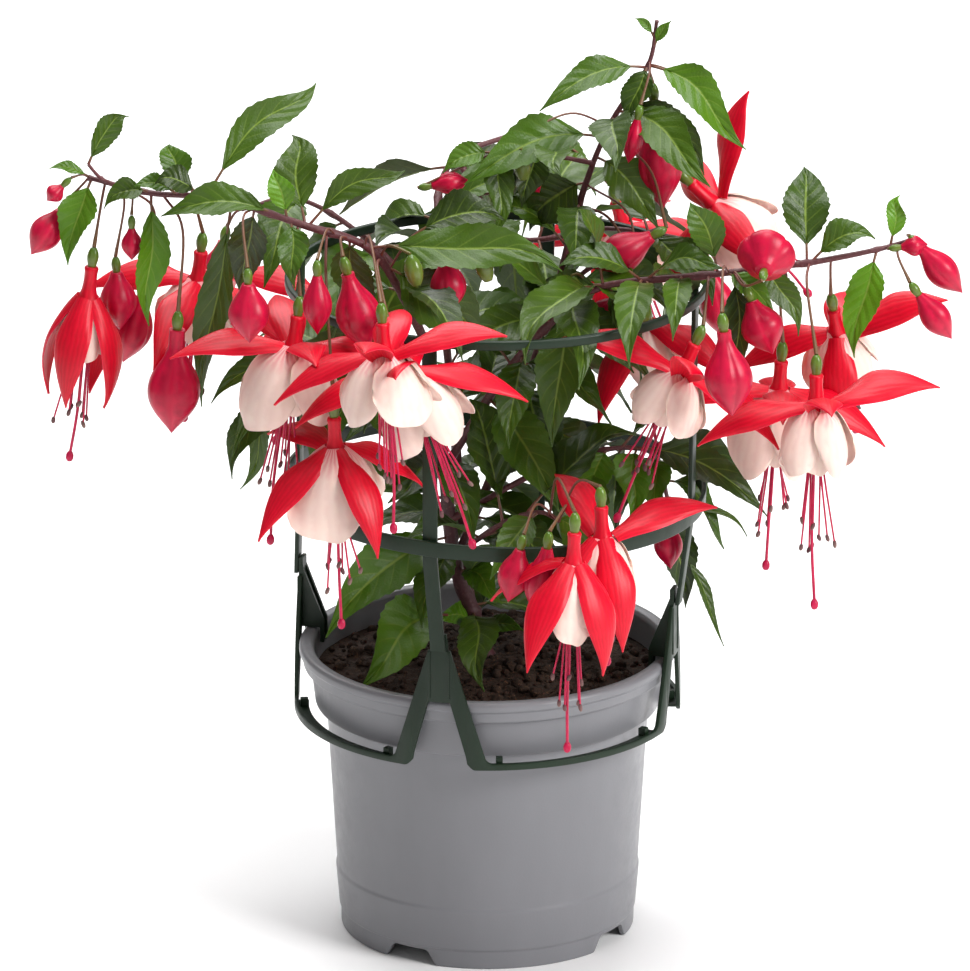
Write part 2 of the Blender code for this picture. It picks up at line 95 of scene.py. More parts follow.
def blend(low: float, high: float, share: float) -> float:
    """Return the value the given share of the way from low to high."""
    return low + (high - low) * share


def smoothstep(low: float, high: float, value: float) -> float:
    """Rise smoothly from 0 at low to 1 at high."""
    share = min(1.0, max(0.0, (value - low) / (high - low)))
    return share * share * (3 - 2 * share)


def along_table(table: Sequence[tuple[float, float]], at: float) -> float:
    """Read a table of rising places and values along a smooth curve through its rows.

    Args:
        table: Rows of a place and its value.
        at: The place to read.

    Returns:
        The value there, held at the table's ends.
    """
    last = len(table) - 1
    if at >= table[last][0]:
        return table[last][1]
    at = max(at, table[0][0])
    row = max(0, max((i for i in range(last) if table[i][0] <= at), default=0))
    slopes = []
    for i in (row, row + 1):
        before, after = table[max(0, i - 1)], table[min(last, i + 1)]
        slopes.append((after[1] - before[1]) / (after[0] - before[0]))
    (low, first), (high, second) = table[row], table[row + 1]
    span = high - low
    t = max(0.0, (at - low) / span)
    return (first * (2 * t ** 3 - 3 * t * t + 1) + slopes[0] * span * (t ** 3 - 2 * t * t + t)
            + second * (3 * t * t - 2 * t ** 3) + slopes[1] * span * (t ** 3 - t * t))


def smooth_path(points: Sequence[Vector], steps: int) -> list[Vector]:
    """Run a Catmull-Rom curve through points.

    Args:
        points: The points that the curve passes.
        steps: How many steps it takes in each gap.

    Returns:
        The curve's points, ends included.
    """
    spots = [points[0] * 2 - points[1], *points, points[-1] * 2 - points[-2]]
    path = []
    for a, b, c, d in zip(spots, spots[1:], spots[2:], spots[3:]):
        for i in range(steps):
            t = i / steps
            path.append(0.5 * (2 * b + (c - a) * t + (2 * a - 5 * b + 4 * c - d) * t * t
                               + (3 * b - a - 3 * c + d) * t ** 3))
    path.append(spots[-2])
    return path


def rounded(corners: Sequence[tuple[float, float]], reach: float, steps: int = 3,
            closed: bool = False) -> list[tuple[float, float]]:
    """Round an outline's corners.

    Args:
        corners: The outline's corner points.
        reach: How far from a corner its round starts, at most a third of either side.
        steps: How many steps each round takes.
        closed: Whether the outline's last point joins its first.

    Returns:
        The outline with a short curve at each corner.
    """
    count = len(corners)
    outline = []
    for i, corner in enumerate(corners):
        if not closed and i in (0, count - 1):
            outline.append(corner)
            continue
        here = Vector(corner)
        before, after = Vector(corners[i - 1]), Vector(corners[(i + 1) % count])
        start = here + (before - here).normalized() * min(reach, (before - here).length / 3)
        end = here + (after - here).normalized() * min(reach, (after - here).length / 3)
        for k in range(steps + 1):
            t = k / steps
            spot = start * (1 - t) ** 2 + here * 2 * t * (1 - t) + end * t * t
            outline.append((spot.x, spot.y))
    return outline


def around(bearing: float, radius: float, height: float) -> Vector:
    """Place a point by its bearing in degrees, 0 at the front and 90 at the right, without the datum."""
    angle = math.radians(bearing)
    return Vector((radius * math.sin(angle), -radius * math.cos(angle), height))


def per_metre(millimetres: float) -> float:
    """Return the texture scale whose features are about the given size."""
    return 1000 / millimetres


def linear(code: str) -> tuple[float, float, float, float]:
    """Turn an sRGB hex code into a linear colour with full alpha.

    Args:
        code: The colour, as a hash and six hex digits.

    Returns:
        Its linear red, green and blue, and an alpha of 1.
    """
    channels = [int(code[i:i + 2], 16) / 255 for i in (1, 3, 5)]
    curve = [c / 12.92 if c <= 0.04045 else ((c + 0.055) / 1.055) ** 2.4 for c in channels]
    return (curve[0], curve[1], curve[2], 1.0)


def add_node(tree: bpy.types.NodeTree, kind: str, settings: dict[str, object],
             inputs: dict[str | int, Value], output: str | int = 0) -> Socket:
    """Add a shader node with its settings, values and links.

    Args:
        tree: The material's node tree.
        kind: The node's type, without its ShaderNode prefix.
        settings: Properties to set on the node.
        inputs: A socket to link from, or a plain value, for each input by name or number.
        output: The output that the caller wants.

    Returns:
        That output socket.
    """
    node = tree.nodes.new("ShaderNode" + kind)
    for name, value in settings.items():
        setattr(node, name, value)
    set_inputs(tree, node, inputs)
    return node.outputs[output]


def set_inputs(tree: bpy.types.NodeTree, node: bpy.types.Node, inputs: dict[str | int, Value]) -> None:
    """Set or link a node's inputs.

    Args:
        tree: The material's node tree.
        node: The node.
        inputs: A socket to link from, or a plain value, for each input by name or number.
    """
    for name, value in inputs.items():
        if isinstance(value, Socket):
            tree.links.new(value, node.inputs[name])
        else:
            node.inputs[name].default_value = value


def set_shader(tree: bpy.types.NodeTree, inputs: dict[str, Value]) -> None:
    """Set or link the inputs of a material's Principled shader."""
    set_inputs(tree, tree.nodes["Principled BSDF"], inputs)


class Finish:
    """A finish that wires its material the first time it is asked for."""

    name: str

    def wire(self, tree: bpy.types.NodeTree) -> None:
        """Wire the finish into the nodes of a material."""
        raise NotImplementedError

    def material(self) -> bpy.types.Material:
        """Make the finish's material the first time, and find it again after that.

        Returns:
            The material.
        """
        found = bpy.data.materials.get(self.name)
        if found is None:
            found = bpy.data.materials.new(self.name)
            found.use_nodes = True
            self.wire(found.node_tree)
        return found


@dataclass(frozen=True)
class MouldedPolypropylene(Finish):
    """Injection-moulded polypropylene: an even satin skin, faint flow streaks and a very fine grain."""

    name: str
    shade: str
    light: str
    roughness: float
    streak_mm: float = 26.0
    grain_mm: float = 0.9
    sheen: float = 0.5
    scuff_mm: float = 7.0

    def wire(self, tree: bpy.types.NodeTree) -> None:
        """Wire slow colour drift, dull scuffs and grain; the grain is drawn coarser than real so it shows.

        Args:
            tree: The material's node tree.
        """
        spot = add_node(tree, "TexCoord", {}, {}, "Object")
        tall = add_node(tree, "Mapping", {}, {"Vector": spot, "Scale": (1, 1, 0.3)})
        drift = add_node(tree, "TexNoise", {},
                         {"Vector": tall, "Scale": per_metre(self.streak_mm), "Detail": 3.0})
        body = add_node(tree, "Mix", COLOUR, {0: drift, 6: linear(self.shade), 7: linear(self.light)}, 2)
        scuff = add_node(tree, "TexNoise", {},
                         {"Vector": spot, "Scale": per_metre(self.scuff_mm), "Detail": 6.0,
                          "Roughness": 0.7})
        dull = add_node(tree, "MapRange", {},
                        {"Value": scuff, "From Min": 0.35, "From Max": 0.7, "To Min": self.roughness - 0.06,
                         "To Max": self.roughness + 0.1})
        grain = add_node(tree, "TexNoise", {},
                         {"Vector": spot, "Scale": per_metre(self.grain_mm), "Detail": 2.0})
        skin = add_node(tree, "Bump", {}, {"Height": grain, "Strength": 0.16, "Distance": 0.2 * MM})
        set_shader(tree,
                   {"Base Color": body, "Roughness": dull, "Normal": skin, "IOR": 1.49,
                    "Specular IOR Level": self.sheen})


@dataclass(frozen=True)
class PeatCompost(Finish):
    """Moist milled peat: near-black crumbs with brown fibre, dull all over."""

    name: str = "peat_compost_milled"
    dark: str = "#1B120D"
    brown: str = "#3B281C"
    fibre: str = "#6A4B31"
    crumb_mm: float = 2.2

    def wire(self, tree: bpy.types.NodeTree) -> None:
        """Wire crumbs of two sizes for colour and relief, and lighter fibre between them.

        Args:
            tree: The material's node tree.
        """
        spot = add_node(tree, "TexCoord", {}, {}, "Object")
        clump = add_node(tree, "TexNoise", {},
                         {"Vector": spot, "Scale": per_metre(self.crumb_mm * 4), "Detail": 6.0,
                          "Roughness": 0.65})
        crumb = add_node(tree, "TexVoronoi", {}, {"Vector": spot, "Scale": per_metre(self.crumb_mm)})
        thread = add_node(tree, "TexNoise", {},
                          {"Vector": spot, "Scale": per_metre(self.crumb_mm / 2), "Detail": 8.0,
                           "Distortion": 1.5})
        earth = add_node(tree, "Mix", COLOUR, {0: clump, 6: linear(self.dark), 7: linear(self.brown)}, 2)
        sparse = add_node(tree, "MapRange", {},
                          {"Value": thread, "From Min": 0.58, "From Max": 0.7, "To Max": 0.7})
        body = add_node(tree, "Mix", COLOUR, {0: sparse, 6: earth, 7: linear(self.fibre)}, 2)
        height = add_node(tree, "Math", {"operation": "ADD"}, {0: crumb, 1: thread})
        relief = add_node(tree, "Bump", {}, {"Height": height, "Strength": 0.8, "Distance": 1.2 * MM})
        set_shader(tree,
                   {"Base Color": body, "Roughness": 0.88, "Normal": relief, "Specular IOR Level": 0.3})


@dataclass(frozen=True)
class YoungBark(Finish):
    """Young fuchsia wood: thin purple-brown bark with long streaks and pale flecks, redder on new growth."""

    name: str = "young_bark"
    old: str = "#3A201E"
    shade: str = "#552830"
    fleck: str = "#7E5A50"
    fresh: str = "#6E3438"
    fleck_mm: float = 1.6
    streak_mm: float = 2.4

    def wire(self, tree: bpy.types.NodeTree) -> None:
        """Wire long streaks, pale flecks, and a fade from old to fresh wood by the tint's green.

        Args:
            tree: The material's node tree.
        """
        spot = add_node(tree, "TexCoord", {}, {}, "Object")
        tint = add_node(tree, "Attribute", {"attribute_name": "tint"}, {}, "Color")
        parts = add_node(tree, "SeparateColor", {}, {"Color": tint})
        tall = add_node(tree, "Mapping", {}, {"Vector": spot, "Scale": (1, 1, 0.25)})
        streak = add_node(tree, "TexNoise", {},
                          {"Vector": tall, "Scale": per_metre(self.streak_mm), "Detail": 5.0})
        wood = add_node(tree, "Mix", COLOUR, {0: streak, 6: linear(self.old), 7: linear(self.shade)}, 2)
        aged = add_node(tree, "Mix", COLOUR,
                        {0: parts.node.outputs["Green"], 6: wood, 7: linear(self.fresh)}, 2)
        dots = add_node(tree, "TexVoronoi", {}, {"Vector": spot, "Scale": per_metre(self.fleck_mm)})
        pale = add_node(tree, "MapRange", {},
                        {"Value": dots, "From Min": 0.3, "From Max": 0.12, "To Max": 0.35})
        body = add_node(tree, "Mix", COLOUR, {0: pale, 6: aged, 7: linear(self.fleck)}, 2)
        height = add_node(tree, "Math", {"operation": "SUBTRACT"}, {0: streak, 1: dots})
        relief = add_node(tree, "Bump", {}, {"Height": height, "Strength": 0.5, "Distance": 0.4 * MM})
        set_shader(tree, {"Base Color": body, "Roughness": 0.55, "Normal": relief})


class Tissue(Finish):
    """Living tissue, patterned by its tints and by the place across and along each blade."""

    @staticmethod
    def sources(tree: bpy.types.NodeTree) -> tuple[Socket, bpy.types.NodeOutputs, Socket, Socket]:
        """Add the nodes that the patterns start from.

        Args:
            tree: The material's node tree.

        Returns:
            The place in the object, the tint's channels, and the places across and along the blade.
        """
        spot = add_node(tree, "TexCoord", {}, {}, "Object")
        tint = add_node(tree, "Attribute", {"attribute_name": "tint"}, {}, "Color")
        parts = add_node(tree, "SeparateColor", {}, {"Color": tint}).node.outputs
        blade = add_node(tree, "UVMap", {"uv_map": "blade"}, {})
        across = add_node(tree, "SeparateXYZ", {}, {"Vector": blade}, "X")
        return spot, parts, across, across.node.outputs["Y"]


@dataclass(frozen=True)
class LeafBlade(Tissue):
    """Living leaf blade: satin green above with a pale midrib and sunk side veins, dull and paler below."""

    name: str = "leaf_blade"
    deep: str = "#1B2805"
    green: str = "#3A520D"
    young: str = "#5A8A14"
    vein: str = "#7A9038"
    under: str = "#4A5E34"
    vein_pairs: float = 7.0
    vein_lean: float = 1.6
    mottle_mm: float = 5.0
    cell_mm: float = 0.9

    def wire(self, tree: bpy.types.NodeTree) -> None:
        """Wire the veins from the blade's own places: across it in u, from stalk to tip in v.

        Args:
            tree: The material's node tree.
        """
        spot, parts, across, along = self.sources(tree)
        centred = add_node(tree, "Math", {"operation": "SUBTRACT"}, {0: across, 1: 0.5})
        side = add_node(tree, "Math", {"operation": "ABSOLUTE"}, {0: centred})
        leaned = add_node(tree, "Math", {"operation": "MULTIPLY"}, {0: side, 1: self.vein_lean * 2})
        steps = add_node(tree, "Math", {"operation": "MULTIPLY_ADD"},
                         {0: along, 1: self.vein_pairs, 2: 0.5})
        run = add_node(tree, "Math", {"operation": "SUBTRACT"}, {0: steps, 1: leaned})
        near = add_node(tree, "Math", {"operation": "PINGPONG"}, {0: run, 1: 0.5})
        side_vein = add_node(tree, "MapRange", {},
                             {"Value": near, "From Min": 0.09, "From Max": 0.0, "To Max": 0.3})
        fading = add_node(tree, "MapRange", {}, {"Value": side, "From Min": 0.48, "From Max": 0.2})
        side_line = add_node(tree, "Math", {"operation": "MULTIPLY"}, {0: side_vein, 1: fading})
        midrib = add_node(tree, "MapRange", {},
                          {"Value": side, "From Min": 0.035, "From Max": 0.01, "To Max": 0.75})
        veins = add_node(tree, "Math", {"operation": "MAXIMUM"}, {0: side_line, 1: midrib})
        mottle = add_node(tree, "TexNoise", {},
                          {"Vector": spot, "Scale": per_metre(self.mottle_mm), "Detail": 5.0,
                           "Roughness": 0.6})
        depth = add_node(tree, "Math", {"operation": "ADD"}, {0: mottle, 1: parts["Red"]})
        share = add_node(tree, "MapRange", {}, {"Value": depth, "From Min": 0.3, "From Max": 1.3})
        grown = add_node(tree, "Mix", COLOUR, {0: share, 6: linear(self.deep), 7: linear(self.green)}, 2)
        aged = add_node(tree, "Mix", COLOUR, {0: parts["Green"], 6: grown, 7: linear(self.young)}, 2)
        upper = add_node(tree, "Mix", COLOUR, {0: veins, 6: aged, 7: linear(self.vein)}, 2)
        lower = add_node(tree, "Mix", COLOUR, {0: veins, 6: linear(self.under), 7: linear(self.vein)}, 2)
        body = add_node(tree, "Mix", COLOUR, {0: parts["Blue"], 6: upper, 7: lower}, 2)
        gloss = add_node(tree, "MapRange", {}, {"Value": parts["Blue"], "To Min": 0.36, "To Max": 0.62})
        cells = add_node(tree, "TexNoise", {},
                         {"Vector": spot, "Scale": per_metre(self.cell_mm), "Detail": 3.0})
        height = add_node(tree, "Math", {"operation": "MULTIPLY_ADD"}, {0: near, 1: 1.6, 2: cells})
        relief = add_node(tree, "Bump", {}, {"Height": height, "Strength": 0.32, "Distance": 0.5 * MM})
        set_shader(tree,
                   {"Base Color": body, "Roughness": gloss, "Normal": relief, "Specular IOR Level": 0.36})


@dataclass(frozen=True)
class WaxyTissue(Tissue):
    """Waxy flower tissue: deep even colour with fine lengthwise veins, a paler edge and a soft sheen. On
    petals the paler edge is a creamy rim; on sepals it is a painted rim highlight.
    """

    name: str
    shade: str
    light: str
    # pale edge colour: a creamy rim on petals, a painted rim highlight on sepals
    edge: str
    base: str
    roughness: float = 0.4
    veins_across: float = 9.0
    mottle_mm: float = 4.0

    def wire(self, tree: bpy.types.NodeTree) -> None:
        """Wire veins across u, the base's own colour at low v, and paler edges where u meets its ends, which
        are a painted rim highlight on the sepals.

        Args:
            tree: The material's node tree.
        """
        spot, parts, across, along = self.sources(tree)
        wander = add_node(tree, "TexNoise", {},
                          {"Vector": spot, "Scale": per_metre(self.mottle_mm), "Detail": 4.0})
        spread = add_node(tree, "Math", {"operation": "MULTIPLY_ADD"},
                          {0: across, 1: self.veins_across, 2: wander})
        line = add_node(tree, "Math", {"operation": "PINGPONG"}, {0: spread, 1: 0.5})
        veined = add_node(tree, "Math", {"operation": "ADD"}, {0: line, 1: wander})
        share = add_node(tree, "MapRange", {}, {"Value": veined, "From Min": 0.35, "From Max": 1.0})
        body = add_node(tree, "Mix", COLOUR, {0: share, 6: linear(self.shade), 7: linear(self.light)}, 2)
        inner = add_node(tree, "Math", {"operation": "PINGPONG"}, {0: across, 1: 0.5})
        # how much edge colour, from the tint's blue: on sepals this paints a rim highlight
        rim = add_node(tree, "MapRange", {},
                       {"Value": inner, "From Min": 0.05, "From Max": 0.0, "To Max": parts["Blue"]})
        edged_with_rim_and_highlight = add_node(tree, "Mix", COLOUR, {0: rim, 6: body, 7: linear(self.edge)}, 2)
        root = add_node(tree, "MapRange", {},
                        {"Value": along, "From Min": 0.3, "From Max": 0.0, "To Max": parts["Green"]})
        streak = add_node(tree, "MapRange", {},
                          {"Value": line, "From Min": 0.5, "From Max": 0.1, "To Min": 0.35, "To Max": 1.0})
        stain = add_node(tree, "Math", {"operation": "MULTIPLY"}, {0: root, 1: streak})
        stained = add_node(tree, "Mix", COLOUR, {0: stain, 6: edged_with_rim_and_highlight, 7: linear(self.base)}, 2)
        relief = add_node(tree, "Bump", {}, {"Height": line, "Strength": 0.25, "Distance": 0.3 * MM})
        set_shader(tree,
                   {"Base Color": stained, "Roughness": self.roughness, "Normal": relief,
                    "Subsurface Weight": 0.1, "Subsurface Scale": 1.2 * MM, "Specular IOR Level": 0.32})


@dataclass(frozen=True)
class SmoothRind(Tissue):
    """Smooth plant skin of ovaries, pods, stalks and anthers, faintly speckled, with a flushed end."""

    name: str
    shade: str
    light: str
    flush: str
    roughness: float = 0.3
    speckle_mm: float = 1.4

    def wire(self, tree: bpy.types.NodeTree) -> None:
        """Wire speckle for colour and a flush that grows with v by the tint's green.

        Args:
            tree: The material's node tree.
        """
        spot, parts, _, along = self.sources(tree)
        speckle = add_node(tree, "TexNoise", {},
                           {"Vector": spot, "Scale": per_metre(self.speckle_mm), "Detail": 4.0})
        body = add_node(tree, "Mix", COLOUR, {0: speckle, 6: linear(self.shade), 7: linear(self.light)}, 2)
        flush = add_node(tree, "Math", {"operation": "MULTIPLY"}, {0: along, 1: parts["Green"]})
        flushed = add_node(tree, "Mix", COLOUR, {0: flush, 6: body, 7: linear(self.flush)}, 2)
        relief = add_node(tree, "Bump", {}, {"Height": speckle, "Strength": 0.2, "Distance": 0.2 * MM})
        set_shader(tree, {"Base Color": flushed, "Roughness": self.roughness, "Normal": relief})


@dataclass(frozen=True)
class StudioPaper(Finish):
    """Matt background paper: plain, pale and rolled flat."""

    name: str = "studio_paper_rolled"
    tone: str = "#F4F4F4"
    light: str = "#F7F7F7"
    drift_mm: float = 400.0

    def wire(self, tree: bpy.types.NodeTree) -> None:
        """Wire one pale tone with a very slight drift.

        Args:
            tree: The material's node tree.
        """
        spot = add_node(tree, "TexCoord", {}, {}, "Object")
        drift = add_node(tree, "TexNoise", {}, {"Vector": spot, "Scale": per_metre(self.drift_mm)})
        body = add_node(tree, "Mix", COLOUR, {0: drift, 6: linear(self.tone), 7: linear(self.light)}, 2)
        set_shader(tree, {"Base Color": body, "Roughness": 0.95, "Specular IOR Level": 0.1})


POT_FINISH = MouldedPolypropylene("polypropylene_moulded_grey", "#6F6F73", "#7C7C80", 0.38)
SUPPORT_FINISH = MouldedPolypropylene("polypropylene_moulded_green", "#122014", "#1A2E1C", 0.4,
                                      streak_mm=14.0, grain_mm=0.7, sheen=0.32)
PEAT = PeatCompost()
BARK = YoungBark()
LEAF = LeafBlade()
# the sepal's pale edge colour, #E61E44, is a painted rim highlight
SEPAL = WaxyTissue("sepal_waxy", "#BE001E", "#D40026", "#E61E44", "#BC041E")
BUD_SKIN = WaxyTissue("bud_skin_waxy", "#A2062E", "#C00A38", "#D03058", "#B40A2C", 0.36, 8.0)
COROLLA = WaxyTissue("corolla_petal_soft", "#E9CBC0", "#F0D6CA", "#F8E6D6", "#D8305A", 0.55, 7.0)
FILAMENT = WaxyTissue("filament_waxy", "#A80A3C", "#C8184C", "#D84068", "#B80C3C", 0.36, 2.0)
ANTHER = SmoothRind("anther_dusty", "#4A1C2A", "#6E4448", "#A08878", 0.7, 0.5)
OVARY = SmoothRind("ovary_rind_glossy", "#3C5E18", "#5F8428", "#8C4630")
STALK = SmoothRind("flower_stalk_smooth", "#5A2426", "#7E3C38", "#5E6628", 0.45)
POD = SmoothRind("seed_pod_rind_glossy", "#33500F", "#55761E", "#968E50", 0.24)


class MeshDraft:
    """Collects the surfaces of one piece: points, faces, each corner's place on its blade, and tints."""

    def __init__(self, name: str, slot: Slot, finishes: Sequence[Finish]) -> None:
        """Start an empty piece.

        Args:
            name: The piece's name.
            slot: Its material slot, not used.
            finishes: Its finishes, in the order that its faces number them.
        """
        self.name = name
        self.slot = slot
        self.finishes = finishes
        self.points: list[Vector] = []
        self.tints: list[Point] = []
        self.faces: list[tuple[int, ...]] = []
        self.corner_places: list[tuple[float, float]] = []
        self.face_slots: list[int] = []

    def skin(self, rows: Sequence[Sequence[Vector]], finish: int = 0, tint: Point = (0, 0, 0),
             wrap: bool = True, ends: bool = True, across: Sequence[float] | None = None,
             along: Sequence[float] | None = None, under: Sequence[float] | None = None,
             strip: bool = False) -> None:
        """Skin rows of points.

        Args:
            rows: The rows, all of one length.
            finish: Which of the piece's finishes it wears.
            tint: Red for chance, green for how young or how stained, blue for the pale edge (a painted rim
                highlight on sepals) and for a leaf's underside.
            wrap: Whether each row closes on itself.
            ends: Whether the first and last rows get a cap.
            across: The u place of each column, evenly spread if left out; a wrapped skin has one more.
            along: The v place of each row, evenly spread if left out.
            under: The blue of each column, where it isn't the tint's.
            strip: Whether a cap joins a row's two halves point by point, as at the ends of a sheet.
        """
        start = len(self.points)
        width = len(rows[0])
        columns = width if wrap else width - 1
        u = across or [j / columns for j in range(columns + 1)]
        v = along or [i / (len(rows) - 1) for i in range(len(rows))]
        for row in rows:
            self.points.extend(row)
            self.tints.extend([tint] * width if under is None else [(*tint[:2], blue) for blue in under])
        turn = -1 if self.volume(rows) < 0 else 1
        for i in range(len(rows) - 1):
            near = start + i * width
            far = near + width
            for j in range(columns):
                k = (j + 1) % width
                self.faces.append((near + j, near + k, far + k, far + j)[::turn])
                self.corner_places.extend([(u[j], v[i]), (u[j + 1], v[i]), (u[j + 1], v[i + 1]),
                                           (u[j], v[i + 1])][::turn])
                self.face_slots.append(finish)
        if ends:
            last = start + (len(rows) - 1) * width
            for first, at, way in ((start, v[0], -turn), (last, v[-1], turn)):
                caps = [tuple(first + j for j in range(width))]
                if strip:
                    caps = [(first + j, first + j + 1, first + width - 2 - j, first + width - 1 - j)
                            for j in range(width // 2 - 1)]
                for cap in caps:
                    self.faces.append(cap[::way])
                    self.corner_places.extend([(0.5, at)] * len(cap))
                    self.face_slots.append(finish)

    @staticmethod
    def volume(rows: Sequence[Sequence[Vector]]) -> float:
        """Measure the space inside a skin, negative where its faces would look inwards.

        Args:
            rows: The skin's rows, each closed on itself.

        Returns:
            The signed volume with its end caps, to scale.
        """
        grid = np.array([[tuple(point) for point in row] for row in rows])
        grid = grid - grid.mean(axis=(0, 1))
        beside = np.roll(grid, -1, axis=1)
        a, b, c, d = grid[:-1], beside[:-1], beside[1:], grid[1:]
        walls = np.sum(a * np.cross(b, c)) + np.sum(a * np.cross(c, d))
        near, far = grid[0], grid[-1]
        first = np.sum(near[:1] * np.cross(np.roll(near, -1, axis=0), near))
        last = np.sum(far[:1] * np.cross(far, np.roll(far, -1, axis=0)))
        return float(walls + first + last)

    def tube(self, path: Sequence[Vector], radii: Sequence[float], sides: int = 10, finish: int = 0,
             tint: Point = (0, 0, 0), along: Sequence[float] | None = None,
             lobes: Callable[[float, float], float] | None = None, across: Vector | None = None) -> None:
        """Sweep a round section along a path.

        Args:
            path: The section's centres.
            radii: Its radius at each centre.
            sides: How many points go round it.
            finish: Which of the piece's finishes it wears.
            tint: The tint of its points.
            along: The v place of each centre.
            lobes: A factor on the radius from the turn about the path and the share of the way along.
            across: The direction that turns are measured from.
        """
        rows = []
        for i, centre in enumerate(path):
            ahead = (path[min(i + 1, len(path) - 1)] - path[max(i - 1, 0)]).normalized()
            if across is None:
                across = ahead.orthogonal()
            across = (across - ahead * across.dot(ahead)).normalized()
            other = ahead.cross(across)
            row = []
            for k in range(sides):
                turn = 2 * math.pi * k / sides
                reach = radii[i] * (lobes(turn, i / (len(path) - 1)) if lobes else 1)
                row.append(centre + reach * (across * math.cos(turn) + other * math.sin(turn)))
            rows.append(row)
        self.skin(rows, finish, tint, along=along)

    def sheet(self, rows: Sequence[Sequence[Vector]], thickness: float, finish: int = 0,
              tint: Point = (0, 0, 0), two_sided: bool = False) -> None:
        """Skin a grid of points on both sides, thinner towards its edges.

        Args:
            rows: The grid, from the stalk's end to the tip.
            thickness: Its thickness along the middle.
            finish: Which of the piece's finishes it wears.
            tint: The tint of its points.
            two_sided: Whether blue marks the underside.
        """
        grid = np.array([[tuple(point) for point in row] for row in rows])
        normals = np.cross(np.gradient(grid, axis=1), np.gradient(grid, axis=0))
        normals /= np.maximum(np.linalg.norm(normals, axis=2, keepdims=True), 1e-12)
        count = grid.shape[1]
        u = [j / (count - 1) for j in range(count)]
        shares = [0.28 + 0.72 * (1 - abs(2 * at - 1) ** 3) for at in u]
        half = thickness / 2 * np.array(shares)[None, :, None] * normals
        upper, lower = grid + half, grid - half
        loops = [[Vector(p) for p in top] + [Vector(p) for p in reversed(bottom)]
                 for top, bottom in zip(upper, lower)]
        blue = [0.0] * count + [1.0] * count if two_sided else None
        self.skin(loops, finish, tint, across=u + u[::-1] + [0.0], under=blue, strip=True)

    def build(self, smooth_angle: float = 50.0) -> bpy.types.Object:
        """Make the piece.

        Args:
            smooth_angle: The angle in degrees above which an edge stays sharp.

        Returns:
            The new object, dressed and riding on the object's one body.
        """
        mesh = bpy.data.meshes.new(self.name)
        mesh.from_pydata([tuple(point) for point in self.points], [], self.faces)
        places = mesh.uv_layers.new(name="blade")
        places.data.foreach_set("uv", [value for pair in self.corner_places for value in pair])
        tint = mesh.color_attributes.new("tint", "FLOAT_COLOR", "POINT")
        tint.data.foreach_set("color", [value for colour in self.tints for value in (*colour, 1.0)])
        for finish in self.finishes:
            mesh.materials.append(finish.material())
        mesh.polygons.foreach_set("material_index", self.face_slots)
        mesh.shade_smooth()
        self.tidy(mesh)
        mesh.set_sharp_from_angle(angle=math.radians(smooth_angle))
        piece = bpy.data.objects.new(self.name, mesh)
        bpy.context.scene.collection.objects.link(piece)
        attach(piece, BODY)
        LOG.info("%s: %d faces", self.name, len(self.faces))
        return piece

    @staticmethod
    def tidy(mesh: bpy.types.Mesh) -> None:
        """Join points that share a place.

        Args:
            mesh: The mesh to join them in.
        """
        work = bmesh.new()
        work.from_mesh(mesh)
        bmesh.ops.remove_doubles(work, verts=work.verts, dist=SAME_PLACE)
        work.to_mesh(mesh)
        work.free()


@dataclass
class GrowerPot:
    """The round grower pot, turned from one profile, with four arches in its foot ring."""

    sides: int = 240
    round_mm: float = 0.8
    arch_bearings: tuple[float, ...] = (-32, 58, 148, 238)
    arch_low: float = 12.0
    arch_high: float = 7.0
    arch_top: float = 4.4
    outer: tuple[tuple[float, float], ...] = (
        (0.4, 6), (56, 6), (56.6, -2), (58.5, -2), (58.6, 5.4), (59.2, 6), (60.6, 22.4), (60.1, 23.8),
        (64.2, 90.4), (68.6, 91.6), (70.4, 106.4), (73.3, 107.2), (73.7, 111.5), (75, 112.2),
        (75, 114.6), (74, 115.7), (72.6, 116))
    inner: tuple[tuple[float, float], ...] = (
        (70.2, 115.6), (69, 114), (68.6, 106.6), (66.9, 93.2), (62.8, 91.6), (58.8, 23.6), (57.4, 8),
        (0.4, 8))

    def arch(self, bearing: float, height: float) -> float:
        """Raise a foot point where an arch cuts the foot ring.

        Args:
            bearing: The point's bearing in degrees.
            height: Its height before the arches are cut, in millimetres.

        Returns:
            Its height with them cut.
        """
        if height > self.arch_top:
            return height
        lift = 0.0
        for centre in self.arch_bearings:
            off = abs((bearing - centre + 180) % 360 - 180)
            lift = max(lift, 1 - smoothstep(self.arch_high, self.arch_low, off))
        return blend(height, self.arch_top, lift)

    def build(self) -> None:
        """Turn the pot's profile, corners rounded, into one closed shell."""
        draft = MeshDraft("grower_pot", Slot.POT, (POT_FINISH,))
        profile = rounded(self.outer + self.inner, self.round_mm)
        rows = []
        for radius, height in profile:
            bearings = [360 * i / self.sides for i in range(self.sides)]
            rows.append([DATUM + around(b, radius * MM, self.arch(b, height) * MM) for b in bearings])
        draft.skin(rows)
        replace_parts(draft.build(30), "pot")


